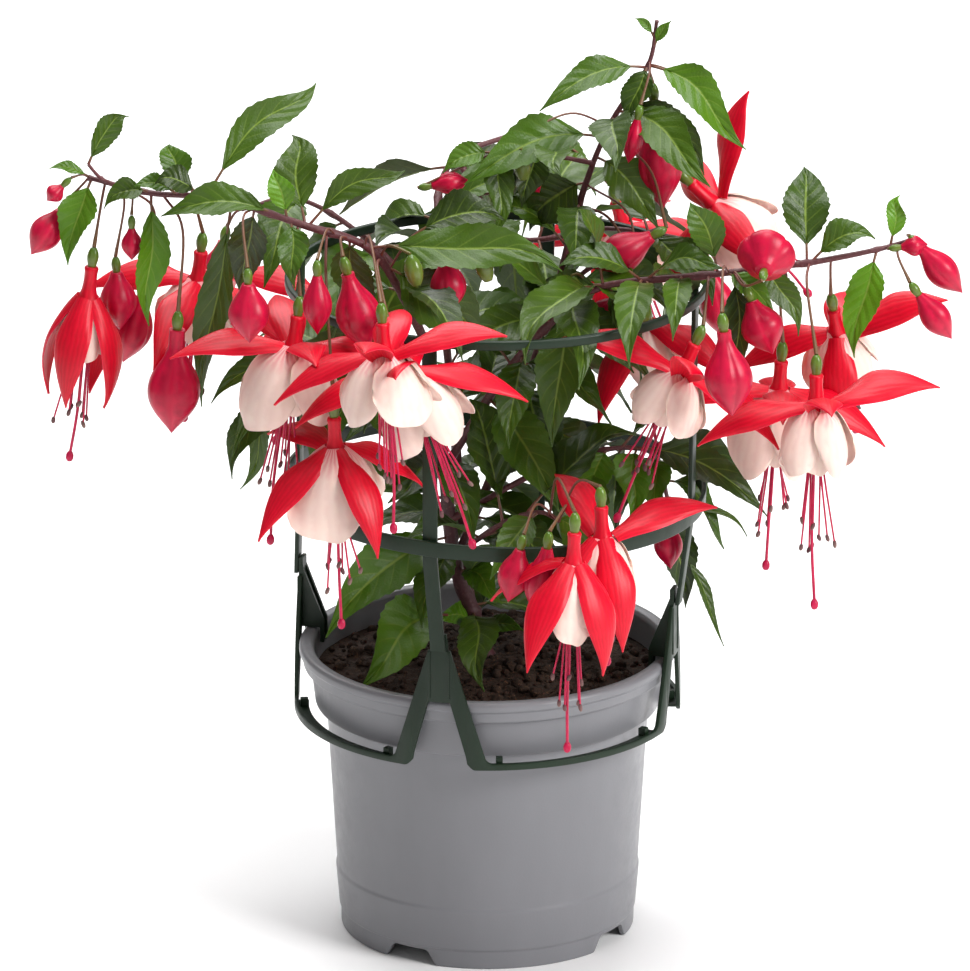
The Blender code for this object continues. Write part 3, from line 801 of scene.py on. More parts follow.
@dataclass
class Compost:
    """The peat in the pot: a rough top, loose crumbs and strands of fibre."""

    top: float = 105.0
    radius: float = 68.2
    rings: int = 56
    sides: int = 150
    crumbs: int = 620
    strands: int = 110
    crumb_reach: float = 66.0
    strand_reach: float = 60.0
    seed: int = 11

    def height(self, x: float, y: float) -> float:
        """Find the height of the peat's top over a place.

        Args:
            x: The place's rightward distance from the pot's axis, in millimetres.
            y: Its backward distance.

        Returns:
            The height from the datum, in millimetres.
        """
        broad = noise.noise(Vector((x, y, 3.0)) * 0.05) * 2.6
        lumps = noise.noise(Vector((x, y, 9.0)) * 0.22) * 1.3
        grit = noise.noise(Vector((x, y, 5.0)) * 0.7) * 0.7
        rim = smoothstep(0.8, 1.0, math.hypot(x, y) / self.radius)
        return self.top + (broad + lumps + grit) * (1 - 0.5 * rim) - rim

    def build(self) -> None:
        """Build the plug with its rough top, then the loose bits on it."""
        plug = MeshDraft("peat_compost", Slot.SOIL, (PEAT,))
        side = ((0.5, 8.5), (56.8, 8.5), (58.2, 23.6), (62.2, 92), (66.2, 93.8), (67.9, 104.0))
        turns = [360 * i / self.sides for i in range(self.sides)]
        rows = [[DATUM + around(turn, radius * MM, height * MM) for turn in turns]
                for radius, height in side]
        for i in range(self.rings):
            radius = self.radius * (1 - i / self.rings)
            row = []
            for turn in turns:
                spot = around(turn, radius, 0)
                row.append(place((spot.x, spot.y, self.height(spot.x, spot.y))))
            rows.append(row)
        plug.skin(rows)
        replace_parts(plug.build(70), "soil")
        self.scatter()

    def scatter(self) -> None:
        """Scatter crumbs and fibre over the top as one piece."""
        draft = MeshDraft("peat_crumbs_and_fibre", Slot.SOIL, (PEAT,))
        chance = random.Random(self.seed)
        for _ in range(self.crumbs):
            turn, reach = chance.uniform(0, 360), self.crumb_reach * math.sqrt(chance.random())
            spot = around(turn, reach, 0)
            size = chance.choice((0.7, 0.9, 1.2, 1.7, 2.3)) * chance.uniform(0.8, 1.2)
            centre = place((spot.x, spot.y, self.height(spot.x, spot.y) + size * 0.3))
            lean = Vector((chance.uniform(-1, 1), chance.uniform(-1, 1), chance.uniform(-0.6, 0.6)))
            lean.normalize()
            shares = (-0.9, -0.45, 0.1, 0.6, 0.95)
            path = [centre + lean * size * share * MM for share in shares]
            radii = [size * MM * chance.uniform(0.75, 1.1) * math.sqrt(1.05 - share * share)
                     for share in shares]
            draft.tube(path, radii, 6)
        for _ in range(self.strands):
            turn, reach = chance.uniform(0, 360), self.strand_reach * math.sqrt(chance.random())
            spot = around(turn, reach, 0)
            heading, bend = chance.uniform(0, 6.28), chance.uniform(-0.9, 0.9)
            length = chance.uniform(5, 16)
            path = []
            for k in range(6):
                share = k / 5
                angle = heading + bend * share
                x = spot.x + math.cos(angle) * length * (share - 0.5)
                y = spot.y + math.sin(angle) * length * (share - 0.5)
                if math.hypot(x, y) < self.crumb_reach:
                    path.append(place((x, y, self.height(x, y) + 0.5 + chance.uniform(0, 0.9))))
            if len(path) > 2:
                draft.tube(path, [chance.uniform(0.18, 0.42) * MM] * len(path), 5)
        draft.build(70)


@dataclass
class PlantSupport:
    """The clip-on support: a base clip with four A-shaped feet, four posts and two hoops."""

    inner: float = 75.3
    thickness: float = 1.7
    bearings: tuple[float, ...] = (-14.4, 75.6, 165.6, 255.6)
    low: float = 88.6
    strap: float = 2.7
    web: float = 116.3
    shoulder: float = 138.0
    tongue: float = 145.0
    web_half: float = 3.3
    foot_half: float = 8.2
    toe_half: float = 14.0
    toe_lift: float = 4.6
    hoop_radius: float = 83.8
    middle: Point = (3, 0, 181)
    middle_tilt: float = 2.0
    top: Point = (4, 0, 267)
    hoop_sides: int = 200
    post_width: float = 6.0
    post_thickness: float = 1.7
    edge_round: float = 0.45

    def edges(self, off: float) -> tuple[float, float]:
        """Return the clip band's lower and upper edge at an angle from the nearest foot's middle.

        Args:
            off: The angle in degrees, 0 to 45.

        Returns:
            Both heights in millimetres.
        """
        toe_top = self.low + self.strap + 1.2
        if off < self.web_half:
            lower = self.web
        elif off < self.foot_half:
            share = (off - self.web_half) / (self.foot_half - self.web_half)
            lower = blend(self.web, self.low + self.toe_lift, share)
        else:
            settle = smoothstep(self.foot_half - 2.6, self.foot_half + 2.6, off)
            lower = self.low + self.toe_lift * (1 - settle) * 1.25
        lower = max(self.low, lower)
        if off < 2.25:
            upper = self.tongue
        elif off < self.web_half:
            upper = self.shoulder
        elif off < self.toe_half:
            upper = blend(self.shoulder, toe_top, (off - self.web_half) / (self.toe_half - self.web_half))
        else:
            upper = blend(toe_top, self.low + self.strap, smoothstep(self.toe_half, 15.6, off))
        return lower, upper

    def band_row(self, bearing: float, lower: float, upper: float, inner: float,
                 outer: float) -> list[Vector]:
        """Draw a rounded upright section of the clip.

        Args:
            bearing: The section's bearing in degrees.
            lower: The height of its lower edge in millimetres.
            upper: The height of its upper edge.
            inner: Its inner radius.
            outer: Its outer radius.

        Returns:
            The section's world points.
        """
        corners = ((inner, lower), (outer, lower), (outer, upper), (inner, upper))
        return [DATUM + around(bearing, radius * MM, height * MM)
                for radius, height in rounded(corners, self.edge_round, 2, closed=True)]

    def clip_offsets(self) -> list[float]:
        """List the angles across one quarter of the clip, close together where its edges turn.

        Returns:
            The angles in degrees from the quarter's foot, rising.
        """
        half = [0, 1.1, 2.0, 2.2, 2.3, 2.8, 3.25, 3.35, 4.2, 5.2, 6.2, 7.2, 8.0, 8.4, 8.8, 9.2, 9.7, 10.2,
                10.8, 11.5, 12.5, 13.4, 13.9, 14.3, 14.9, 15.6, 17.5, 20, 23, 26, 29, 32, 35, 38, 41.5, 45]
        return [-off for off in reversed(half[1:])] + half[:-1]

    def build_clip(self) -> None:
        """Build the base clip with its ledge, studs, stiffening ribs and hooks over the pot's rim."""
        draft = MeshDraft("support_base_clip", Slot.SUPPORT, (SUPPORT_FINISH,))
        outer = self.inner + self.thickness
        rows = []
        for centre in self.bearings:
            for off in self.clip_offsets():
                lower, upper = self.edges(abs(off))
                rows.append(self.band_row(centre + off, lower, upper, self.inner, outer))
        rows.append(rows[0])
        draft.skin(rows, ends=False)
        for centre in self.bearings:
            ledge = [self.band_row(centre + off, self.low, self.low + 1.3, self.inner - 4.2, self.inner + 0.8)
                     for off in (12.4 + 65.2 * i / 30 for i in range(31))]
            draft.skin(ledge)
            for off in (18, 72):
                stud = [self.band_row(centre + off + turn, self.low + 0.4, self.low + 4.6,
                                      self.inner - 3.8, self.inner - 0.6) for turn in (-1, 0, 1)]
                draft.skin(stud)
            for off in (-1.9, 1.9):
                hook = ((self.inner + 0.8, 116.3), (68.3, 116.3), (68.2, 110), (66.6, 110), (66.8, 119.5),
                        (self.inner + 0.8, 143))
                outline = rounded(hook, 0.5, 2, closed=True)
                draft.skin([[DATUM + around(centre + off + half, radius * MM, height * MM)
                             for radius, height in outline] for half in (-0.6, 0, 0.6)])
            for off in (-2.9, 2.9):
                rib = [self.band_row(centre + off + half, 118, self.shoulder - 0.4, outer - 0.4, outer + 0.35)
                       for half in (-0.3, 0, 0.3)]
                draft.skin(rib)
        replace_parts(draft.build(), "support_clip")

    def build_hoop(self, name: str, node: str, centre: Point, tilt: float,
                   section: Sequence[tuple[float, float]], reach: float) -> None:
        """Build one hoop.

        Args:
            name: The piece's name.
            node: The CAD node that it stands for.
            centre: The hoop's centre from the datum.
            tilt: Its lean about Y in degrees.
            section: Its section, as outward and upward steps from its radius.
            reach: How far the section's corners are rounded.
        """
        draft = MeshDraft(name, Slot.SUPPORT, (SUPPORT_FINISH,))
        lean = Matrix.Translation(place(centre)) @ Matrix.Rotation(math.radians(tilt), 4, "Y")
        outline = rounded(section, reach, 3, closed=True)
        rows = [[lean @ around(360 * i / self.hoop_sides, (self.hoop_radius + out) * MM, up * MM)
                 for out, up in outline] for i in range(self.hoop_sides + 1)]
        draft.skin(rows, ends=False)
        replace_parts(draft.build(), node)

    def build_post(self, side: str, low: float, middle: float, high: float) -> None:
        """Build one post from the clip's tongue to the inside of the top hoop.

        Args:
            side: The side of the pot that it stands on.
            low: Its bearing at the clip in degrees.
            middle: Its bearing at the middle hoop.
            high: Its bearing at the top hoop.
        """
        draft = MeshDraft(f"support_post_{side}_moulded", Slot.SUPPORT, (SUPPORT_FINISH,))
        foot_radius = self.inner + self.thickness + 0.3 + self.post_thickness / 2
        inset = self.hoop_radius - 3.6
        x_mid, x_top = Vector((self.middle[0], 0, 0)), Vector((self.top[0], 0, 0))
        knots = ((low, around(low, foot_radius, 138.4)),
                 (middle, x_mid + around(middle, inset, 176)),
                 (middle, x_mid + around(middle, inset, 188)),
                 (high, x_top + around(high, inset, 262)),
                 (high, x_top + around(high, inset, 268.6)))
        half_width, half_depth = self.post_width / 2, self.post_thickness / 2
        corners = ((-half_width, -half_depth), (half_width, -half_depth),
                   (half_width, half_depth), (-half_width, half_depth))
        outline = rounded(corners, self.edge_round, 2, closed=True)
        rows = []
        for (first, start), (second, end) in zip(knots, knots[1:]):
            for k in range(8):
                share = k / 8
                rows.append(self.post_row(outline, blend(first, second, share), start.lerp(end, share)))
        rows.append(self.post_row(outline, *knots[-1]))
        draft.skin(rows)
        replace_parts(draft.build(), f"support_post_{side}")

    @staticmethod
    def post_row(outline: Sequence[tuple[float, float]], bearing: float, centre: Vector) -> list[Vector]:
        """Return the post's section about a centre, square to its bearing."""
        across, through = around(bearing + 90, 1, 0), around(bearing, 1, 0)
        return [place(centre + across * x + through * y) for x, y in outline]

    def build(self) -> None:
        """Build the clip, the posts and both hoops."""
        self.build_clip()
        front, right, back, left = self.bearings
        self.build_post("front", front, -18.5, -19.4)
        for side, bearing in (("right", right), ("back", back), ("left", left)):
            self.build_post(side, bearing, bearing, bearing)
        self.build_hoop("support_hoop_middle", "support_ring_middle", self.middle, self.middle_tilt,
                        ((-1.7, -3.1), (0, -3.1), (0, 3.1), (-1.7, 3.1)), 0.5)
        self.build_hoop("support_hoop_top", "support_ring_top", self.top, 0,
                        ((-2.2, -1.9), (0.3, -1.9), (0.3, 1.9), (-2.2, 1.9)), 0.9)


@dataclass(frozen=True)
class Stem:
    """One stem: its end radii, the places it runs through, how fresh its wood is, and its leaf nodes."""

    thick: float
    thin: float
    points: tuple[Point, ...]
    fresh: float = 0.2
    nodes: int = 6

    def path(self, steps: int = 10) -> list[Vector]:
        """Return the stem's smooth path."""
        return smooth_path([place(point) for point in self.points], steps)

    def build(self, name: str, replaced: str | None) -> None:
        """Build the stem with a swelling at each leaf node.

        Args:
            name: The piece's name.
            replaced: The CAD node that it stands for, if any.
        """
        draft = MeshDraft(name, Slot.STEM, (BARK,))
        path = self.path()
        last = len(path) - 1
        radii = []
        for i in range(last + 1):
            share = i / last
            swell = max(0.0, math.cos(2 * math.pi * self.nodes * share)) ** 12
            radii.append(blend(self.thick, self.thin, share) * (1 + 0.34 * swell) * MM)
        draft.tube(path, radii, 12, tint=(0.5, self.fresh, 0), lobes=self.knobble)
        piece = draft.build(70)
        if replaced:
            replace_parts(piece, replaced)

    @staticmethod
    def knobble(turn: float, share: float) -> float:
        """Return the bark's uneven reach about the stem."""
        return 1 + 0.06 * math.sin(2 * turn + 31 * share) + 0.04 * math.sin(5 * turn - 57 * share)


@dataclass(frozen=True)
class Leaf:
    """One toothed leaf: stalk base, tip, greatest breadth, arch, facing, and how young it is."""

    base: Point
    tip: Point
    width: float
    arch: float
    face: Point = (0, -0.8, 0.6)
    young: float = 0.0
    stalk_share: float = 0.16

    rows: ClassVar[int] = 40
    columns: ClassVar[int] = 15
    teeth: ClassVar[int] = 12
    slimness: ClassVar[float] = 0.88
    vein_pairs: ClassVar[float] = LeafBlade.vein_pairs
    vein_lean: ClassVar[float] = LeafBlade.vein_lean
    outline: ClassVar[tuple[tuple[float, float], ...]] = (
        (0, 0.05), (0.05, 0.24), (0.14, 0.62), (0.26, 0.91), (0.38, 1.0), (0.52, 0.94), (0.66, 0.73),
        (0.79, 0.43), (0.89, 0.2), (0.96, 0.07), (1, 0.015))

    def breadth(self, share: float) -> float:
        """Return the blade's breadth at a share of the way along it, 1 at its widest."""
        return max(0.015, along_table(self.outline, share))

    def build(self, name: str, replaced: str | None, bark: "Bark", chance: random.Random) -> None:
        """Build the leaf's stalk and blade.

        Args:
            name: The piece's name.
            replaced: The CAD node that it stands for, if any.
            bark: The stems that its stalk may grow from.
            chance: Where its small differences come from.
        """
        draft = MeshDraft(name, Slot.LEAF, (LEAF, STALK))
        self.grow(draft, bark, chance)
        piece = draft.build(80)
        if replaced:
            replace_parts(piece, replaced)

    def grow(self, draft: MeshDraft, bark: "Bark", chance: random.Random) -> None:
        """Add the leaf to a draft whose finishes are leaf and stalk.

        Args:
            draft: The piece to add to.
            bark: The stems that its stalk may grow from.
            chance: Where its small differences come from.
        """
        base, tip = bark.nearest(place(self.base)), place(self.tip)
        side = (tip - base).cross(Vector(self.face).normalized()).normalized()
        control = (base + tip) / 2 + Vector((0, 0, 2 * self.arch * MM))
        fold = chance.uniform(0.18, 0.5)
        wave, phase = chance.uniform(0.1, 0.24), chance.uniform(0, 6.28)
        twist = chance.uniform(-0.6, 0.6)
        curl = chance.uniform(0.1, 0.5)
        bow = chance.uniform(-0.09, 0.09) * (tip - base).length
        tint = (chance.random(), self.young, 0.0)

        def spine(share: float) -> tuple[Vector, Vector, Vector]:
            """Follow the leaf's spine.

            Args:
                share: The share of its length.

            Returns:
                The spine's point there, and the directions to its side and upwards.
            """
            point = base * (1 - share) ** 2 + control * 2 * share * (1 - share) + tip * share * share
            point += side * bow * math.sin(2 * math.pi * share ** 1.2) * share
            ahead = ((control - base) * (1 - share) + (tip - control) * share).normalized()
            up = side.cross(ahead).normalized()
            turned = Matrix.Rotation(twist * (share - 0.3), 3, ahead)
            return point, turned @ side, turned @ up

        stalk = [spine(self.stalk_share * k / 6)[0] for k in range(7)]
        draft.tube(stalk, [blend(0.62, 0.5, k / 6) * MM for k in range(7)], 8, 1, (0.5, 0.4, 0))
        half = self.width / 2 * self.slimness * MM
        grid = []
        for i in range(self.rows):
            share = i / (self.rows - 1)
            point, out, up = spine(blend(self.stalk_share * 0.92, 1.0, share))
            reach = half * self.breadth(share)
            tooth = (share * self.teeth) % 1.0
            row = []
            for j in range(self.columns):
                across = 2 * j / (self.columns - 1) - 1
                off = abs(across)
                edge = 1 + (0.13 * (tooth - 0.5) if off > 0.95 else 0.0) * (1 - share ** 3)
                run = share * self.vein_pairs + 0.5 - off * self.vein_lean
                quilt = (abs(math.sin(math.pi * run)) ** 0.7 - 0.6) * 0.03 * half * (1 - off ** 4)
                rib = -0.045 * half * math.exp(-(off / 0.09) ** 2)
                late = 2.1 if across > 0 else 0
                ripple = wave * reach * off ** 2 * math.sin(5.5 * share * 2 + phase + late)
                lift = fold * reach * off ** 1.3 + ripple + quilt + rib - curl * half * share ** 4
                row.append(point + out * (across * reach * edge) + up * lift)
            grid.append(row)
        draft.sheet(grid, 0.42 * MM, 0, tint, two_sided=True)


@dataclass(frozen=True)
class Bark:
    """The stems' paths, which leaf and flower stalks are brought on to."""

    paths: tuple[tuple[Vector, ...], ...]
    reach_mm: float = 14.0

    def nearest(self, point: Vector) -> Vector:
        """Find the nearest place inside a stem.

        Args:
            point: The point to start from.

        Returns:
            That place if one is in reach, else the point itself.
        """
        best, spot = self.reach_mm * MM, point
        for path in self.paths:
            for start, end in zip(path, path[1:]):
                span = end - start
                share = min(1.0, max(0.0, (point - start).dot(span) / span.length_squared))
                centre = start + span * share
                if (point - centre).length < best:
                    best, spot = (point - centre).length, centre
        return spot


def stalk_path(bark: Bark, stalk: Point, head: Vector, axis: Vector) -> list[Vector]:
    """Bow a flower's stalk from the bark over and down into line with the flower.

    Args:
        bark: The stems that it may grow from.
        stalk: Where it starts.
        head: Where the ovary starts.
        axis: The way the flower points.

    Returns:
        The stalk's path.
    """
    start = bark.nearest(place(stalk))
    reach = (head - start).length
    bow = Vector((0.09, -0.07, 0)) * math.sin(head.x * 1000)
    return smooth_path([start, (start + head) / 2 + (bow - axis * 0.22) * reach, head - axis * 0.5 * MM], 8)


def frame_about(axis: Vector) -> tuple[Vector, Vector]:
    """Return the two directions square to an axis that sepal angles are measured with."""
    right = (Vector((1, 0, 0)) - axis * axis.x).normalized()
    return right, axis.cross(right)


def add_stalk_and_ovary(draft: MeshDraft, path: Sequence[Vector], head: Vector, axis: Vector,
                        size: float) -> None:
    """Add a flower's stalk, finish 1, and its ovary, finish 2, to a draft.

    Args:
        draft: The piece to add to.
        path: The stalk's path.
        head: Where the ovary starts.
        axis: The way the flower points.
        size: The ovary's size, 1 on an open flower.
    """
    count = len(path)
    radii = [(0.55 + 0.3 * smoothstep(0.75, 1.0, i / (count - 1))) * MM * size ** 0.5 for i in range(count)]
    draft.tube(path, radii, 8, 1, (0.5, 0.4, 0))
    profile = ((-0.4, 0.8), (0.4, 1.5), (1.6, 2.05), (3.2, 2.4), (4.8, 2.3), (6.2, 1.95), (7.4, 1.75),
               (8.0, 1.5))
    draft.tube([head + axis * z * size * MM for z, _ in profile], [r * size * MM for _, r in profile], 16, 2,
               (0.5, 0.25, 0), lobes=lambda turn, share: 1 + 0.03 * math.cos(4 * turn))


@dataclass(frozen=True)
class Flower:
    """One open flower: stalk, head, aim, spin and lift of its sepals, and its corolla and style."""

    stalk: Point
    head: Point
    aim: Point
    spin: float
    lifts: tuple[float, float, float, float]
    bell: tuple[float, float] = (14, 28)
    style: float = 48

    tube_end: ClassVar[float] = 21.0
    sepal_length: ClassVar[float] = 43.0
    sepal_width: ClassVar[float] = 15.0
    sepal_rows: ClassVar[int] = 24
    petal_rows: ClassVar[int] = 20
    stamens: ClassVar[int] = 8
    sepal_outline: ClassVar[tuple[tuple[float, float], ...]] = (
        (0, 0.5), (0.12, 0.68), (0.28, 0.93), (0.4, 1.0), (0.55, 0.91), (0.72, 0.62), (0.86, 0.31),
        (0.95, 0.11), (1, 0.02))
    bell_shape: ClassVar[tuple[tuple[float, float], ...]] = (
        (0, 0.27), (0.08, 0.5), (0.2, 0.76), (0.4, 0.98), (0.62, 1.14), (0.84, 1.2), (1.0, 1.12))

    def build(self, name: str, replaced: str | None, bark: Bark, chance: random.Random) -> None:
        """Build the calyx, the corolla, and the stamens with the style.

        Args:
            name: The pieces' common name.
            replaced: The CAD node that they stand for, if any.
            bark: The stems that its stalk may grow from.
            chance: Where its small differences come from.
        """
        head, axis = place(self.head), Vector(self.aim).normalized()
        pieces = [self.build_calyx(name, bark, head, axis, chance),
                  self.build_corolla(name, head, axis, chance),
                  self.build_stamens(name, head, axis, chance)]
        if replaced:
            for piece in pieces:
                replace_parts(piece, replaced)

    def build_calyx(self, name: str, bark: Bark, head: Vector, axis: Vector,
                    chance: random.Random) -> bpy.types.Object:
        """Build the stalk, the ovary, the ribbed tube and the four sepals.

        Args:
            name: The flower's name.
            bark: The stems that its stalk may grow from.
            head: Where the ovary starts.
            axis: The way the flower points.
            chance: Where its small differences come from.

        Returns:
            The new piece.
        """
        draft = MeshDraft(f"{name}_calyx", Slot.PETAL, (SEPAL, STALK, OVARY))
        add_stalk_and_ovary(draft, stalk_path(bark, self.stalk, head, axis), head, axis, 1.0)
        right, front = frame_about(axis)
        first = right * math.cos(math.radians(self.spin)) + front * math.sin(math.radians(self.spin))
        profile = ((7.4, 1.6), (7.7, 2.5), (8.4, 2.85), (9.6, 2.65), (11.5, 2.55), (14, 2.6), (17, 2.9),
                   (19.5, 3.6), (21.5, 4.5), (22.6, 4.9))
        draft.tube([head + axis * z * MM for z, _ in profile], [r * MM for _, r in profile], 28, 0,
                   (0.5, 0, 0), lobes=lambda turn, share: 1 + 0.05 * share * math.cos(4 * turn), across=first)
        mouth = head + axis * self.tube_end * MM
        for number, lift in enumerate(self.lifts):
            self.add_sepal(draft, mouth, axis, self.spin + 90 * number, lift, chance)
        return draft.build(70)

    def add_sepal(self, draft: MeshDraft, mouth: Vector, axis: Vector, turn: float, lift: float,
                  chance: random.Random) -> None:
        """Add one sepal, a pointed trough with a raised keel.

        Args:
            draft: The piece to add to.
            mouth: The middle of the tube's end.
            axis: The way the flower points.
            turn: Its angle about the axis in degrees.
            lift: How far it opens, 0 along the axis and 90 spread flat.
            chance: Where its small differences come from.
        """
        right, front = frame_about(axis)
        outward = right * math.cos(math.radians(turn)) + front * math.sin(math.radians(turn))
        reach = axis * math.cos(math.radians(lift)) + outward * math.sin(math.radians(lift))
        length = self.sepal_length * MM
        base = mouth + outward * 4.1 * MM - axis * 1.2 * MM
        tip = mouth + outward * 6 * MM + reach * length
        spread = math.sin(math.radians(lift))
        control = (base + tip) / 2 + (outward * (0.34 * (1 - spread)) - axis * 0.24 * spread) * length
        middle = base * 0.25 + control * 0.5 + tip * 0.25
        short = (self.bell[0] * 1.3 + 2.5) * MM - (middle - mouth).dot(outward)
        control += outward * 2 * max(0.0, short) * max(0.0, math.cos(math.radians(lift)))
        side = axis.cross(outward).normalized()
        twist = chance.uniform(-0.2, 0.2) - 0.62 * spread * side.y
        wave, phase = chance.uniform(0.02, 0.07), chance.uniform(0, 6.28)
        width = self.sepal_width * MM
        grid = []
        for i in range(self.sepal_rows):
            t = i / (self.sepal_rows - 1)
            point = base * (1 - t) ** 2 + control * 2 * t * (1 - t) + tip * t * t
            ahead = ((control - base) * (1 - t) + (tip - control) * t).normalized()
            out = (side - ahead * side.dot(ahead)).normalized()
            out = Matrix.Rotation(twist * smoothstep(0, 0.5, t), 3, ahead) @ out
            up = out.cross(ahead).normalized()
            half = width / 2 * along_table(self.sepal_outline, t)
            bend = blend(1.15, 0.42, smoothstep(0.0, 0.45, t))
            row = []
            for j in range(13):
                across = j / 6 - 1
                sag = half * bend * (1 - math.cos(across * 1.2)) * 0.9
                keel = 0.35 * MM * math.exp(-(across / 0.12) ** 2) * (1 - t)
                ripple = wave * half * abs(across) ** 2 * math.sin(7 * t + phase + across)
                row.append(point + out * half * math.sin(across * 1.2) / math.sin(1.2) - up * (sag + ripple)
                           + up * keel)
            grid.append(row)
        # the tint's blue of 0.75 paints the sepal's pale edges as a rim highlight
        draft.sheet(grid, 1.1 * MM, 0, (0.5, 0, 0.75))

    def build_corolla(self, name: str, head: Vector, axis: Vector,
                      chance: random.Random) -> bpy.types.Object:
        """Build the bell of overlapping outer petals with narrower ones inside it.

        Args:
            name: The flower's name.
            head: Where the ovary starts.
            axis: The way the flower points.
            chance: Where its small differences come from.

        Returns:
            The new piece.
        """
        draft = MeshDraft(f"{name}_corolla", Slot.PETAL, (COROLLA,))
        for number in range(4):
            self.add_petal(draft, head, axis, self.spin + 45 + 90 * number, 56, 1.0, chance)
        for number in range(4):
            self.add_petal(draft, head, axis, self.spin + 5 + 90 * number, 50, 0.8, chance)
        return draft.build(80)

    def add_petal(self, draft: MeshDraft, head: Vector, axis: Vector, turn: float, half_angle: float,
                  size: float, chance: random.Random) -> None:
        """Add one petal of the bell.

        Args:
            draft: The piece to add to.
            head: Where the ovary starts.
            axis: The way the flower points.
            turn: The petal's angle about the axis in degrees.
            half_angle: Half the angle that it wraps round the bell.
            size: Its share of the bell's radius and depth.
            chance: Where its small differences come from.
        """
        right, front = frame_about(axis)
        girth, depth = self.bell
        fold, phase = chance.uniform(0.05, 0.12), chance.uniform(0, 6.28)
        drop = chance.uniform(0.92, 1.06)
        flare = chance.uniform(-0.12, 0.14)
        grid = []
        for i in range(self.petal_rows):
            t = i / (self.petal_rows - 1)
            row = []
            for j in range(19):
                across = j / 9 - 1
                narrow = 0.5 + 0.5 * smoothstep(0.0, 0.35, t)
                angle = math.radians(turn + half_angle * across * narrow * (1 - 0.16 * t ** 6))
                edge_drop = 1 - 0.46 * abs(across) ** 3 - 0.025 * math.cos(5 * across + phase)
                share = t * drop * size ** 0.6 * edge_drop
                radius = girth * along_table(self.bell_shape, min(1.0, share)) * size
                radius *= 1 + 0.12 * across + fold * t * t * math.sin(4 * across + phase)
                radius *= 1 + flare * smoothstep(0.75, 1.0, t)
                outward = right * math.cos(angle) + front * math.sin(angle)
                z = self.tube_end - 1.5 + (depth + 1.5) * share
                row.append(head + axis * z * MM + outward * radius * MM)
            grid.append(row)
        draft.sheet(grid, 0.5 * MM, 0, (0.5, 0.85, 0.8))

    def build_stamens(self, name: str, head: Vector, axis: Vector,
                      chance: random.Random) -> bpy.types.Object:
        """Build the eight stamens with their anthers, and the style with its knobbed stigma.

        Args:
            name: The flower's name.
            head: Where the ovary starts.
            axis: The way the flower points.
            chance: Where its small differences come from.

        Returns:
            The new piece.
        """
        draft = MeshDraft(f"{name}_stamens", Slot.PETAL, (FILAMENT, ANTHER))
        right, front = frame_about(axis)
        start, end = self.tube_end - 2, self.tube_end + self.bell[1]
        down = Vector((0, 0, -1))
        for number in range(self.stamens):
            angle = math.radians(360 / self.stamens * number + chance.uniform(-14, 14))
            outward = right * math.cos(angle) + front * math.sin(angle)
            length = self.style * chance.uniform(0.28, 0.62)
            splay = chance.uniform(2.2, 8.5)
            tip = head + (axis * (end + length) + outward * splay) * MM + down * 2 * MM
            middle = head + (axis * (end - 4) + outward * 2.8) * MM
            path = smooth_path([head + (axis * start + outward * 1.6) * MM, middle, tip], 9)
            draft.tube(path, [blend(0.5, 0.38, k / 18) * MM for k in range(19)], 7, 0, (0.5, 0, 0))
            stray = Vector((chance.uniform(-0.5, 0.5), chance.uniform(-0.5, 0.5), 0))
            lean = ((tip - middle).normalized() + stray).normalized()
            anther = ((-1.5, 0.25), (-1.1, 0.75), (-0.3, 0.95), (0.6, 0.95), (1.3, 0.7), (1.7, 0.25))
            draft.tube([tip + lean * z * MM for z, _ in anther], [r * MM for _, r in anther], 10, 1,
                       (0.5, chance.uniform(0, 0.7), 0),
                       lobes=lambda turn, share: 1 - 0.2 * abs(math.cos(turn)))
        sway = (right * chance.uniform(-1, 1) + front * chance.uniform(-1, 1)) * 1.6 * MM
        tip = head + axis * (end + self.style) * MM
        middle = head + axis * (end + self.style * 0.45) * MM + sway
        path = smooth_path([head + axis * start * MM, middle, tip], 12)
        draft.tube(path, [0.6 * MM] * 25, 8, 0, (0.5, 0, 0))
        knob = ((-1.6, 0.6), (-1.0, 1.1), (0, 1.6), (1.2, 1.65), (2.2, 1.2), (2.8, 0.4))
        draft.tube([tip + axis * z * MM for z, _ in knob], [r * MM for _, r in knob], 16, 0, (0.5, 0, 0),
                   lobes=lambda turn, share: 1 + 0.14 * share * math.cos(4 * turn))
        return draft.build(70)


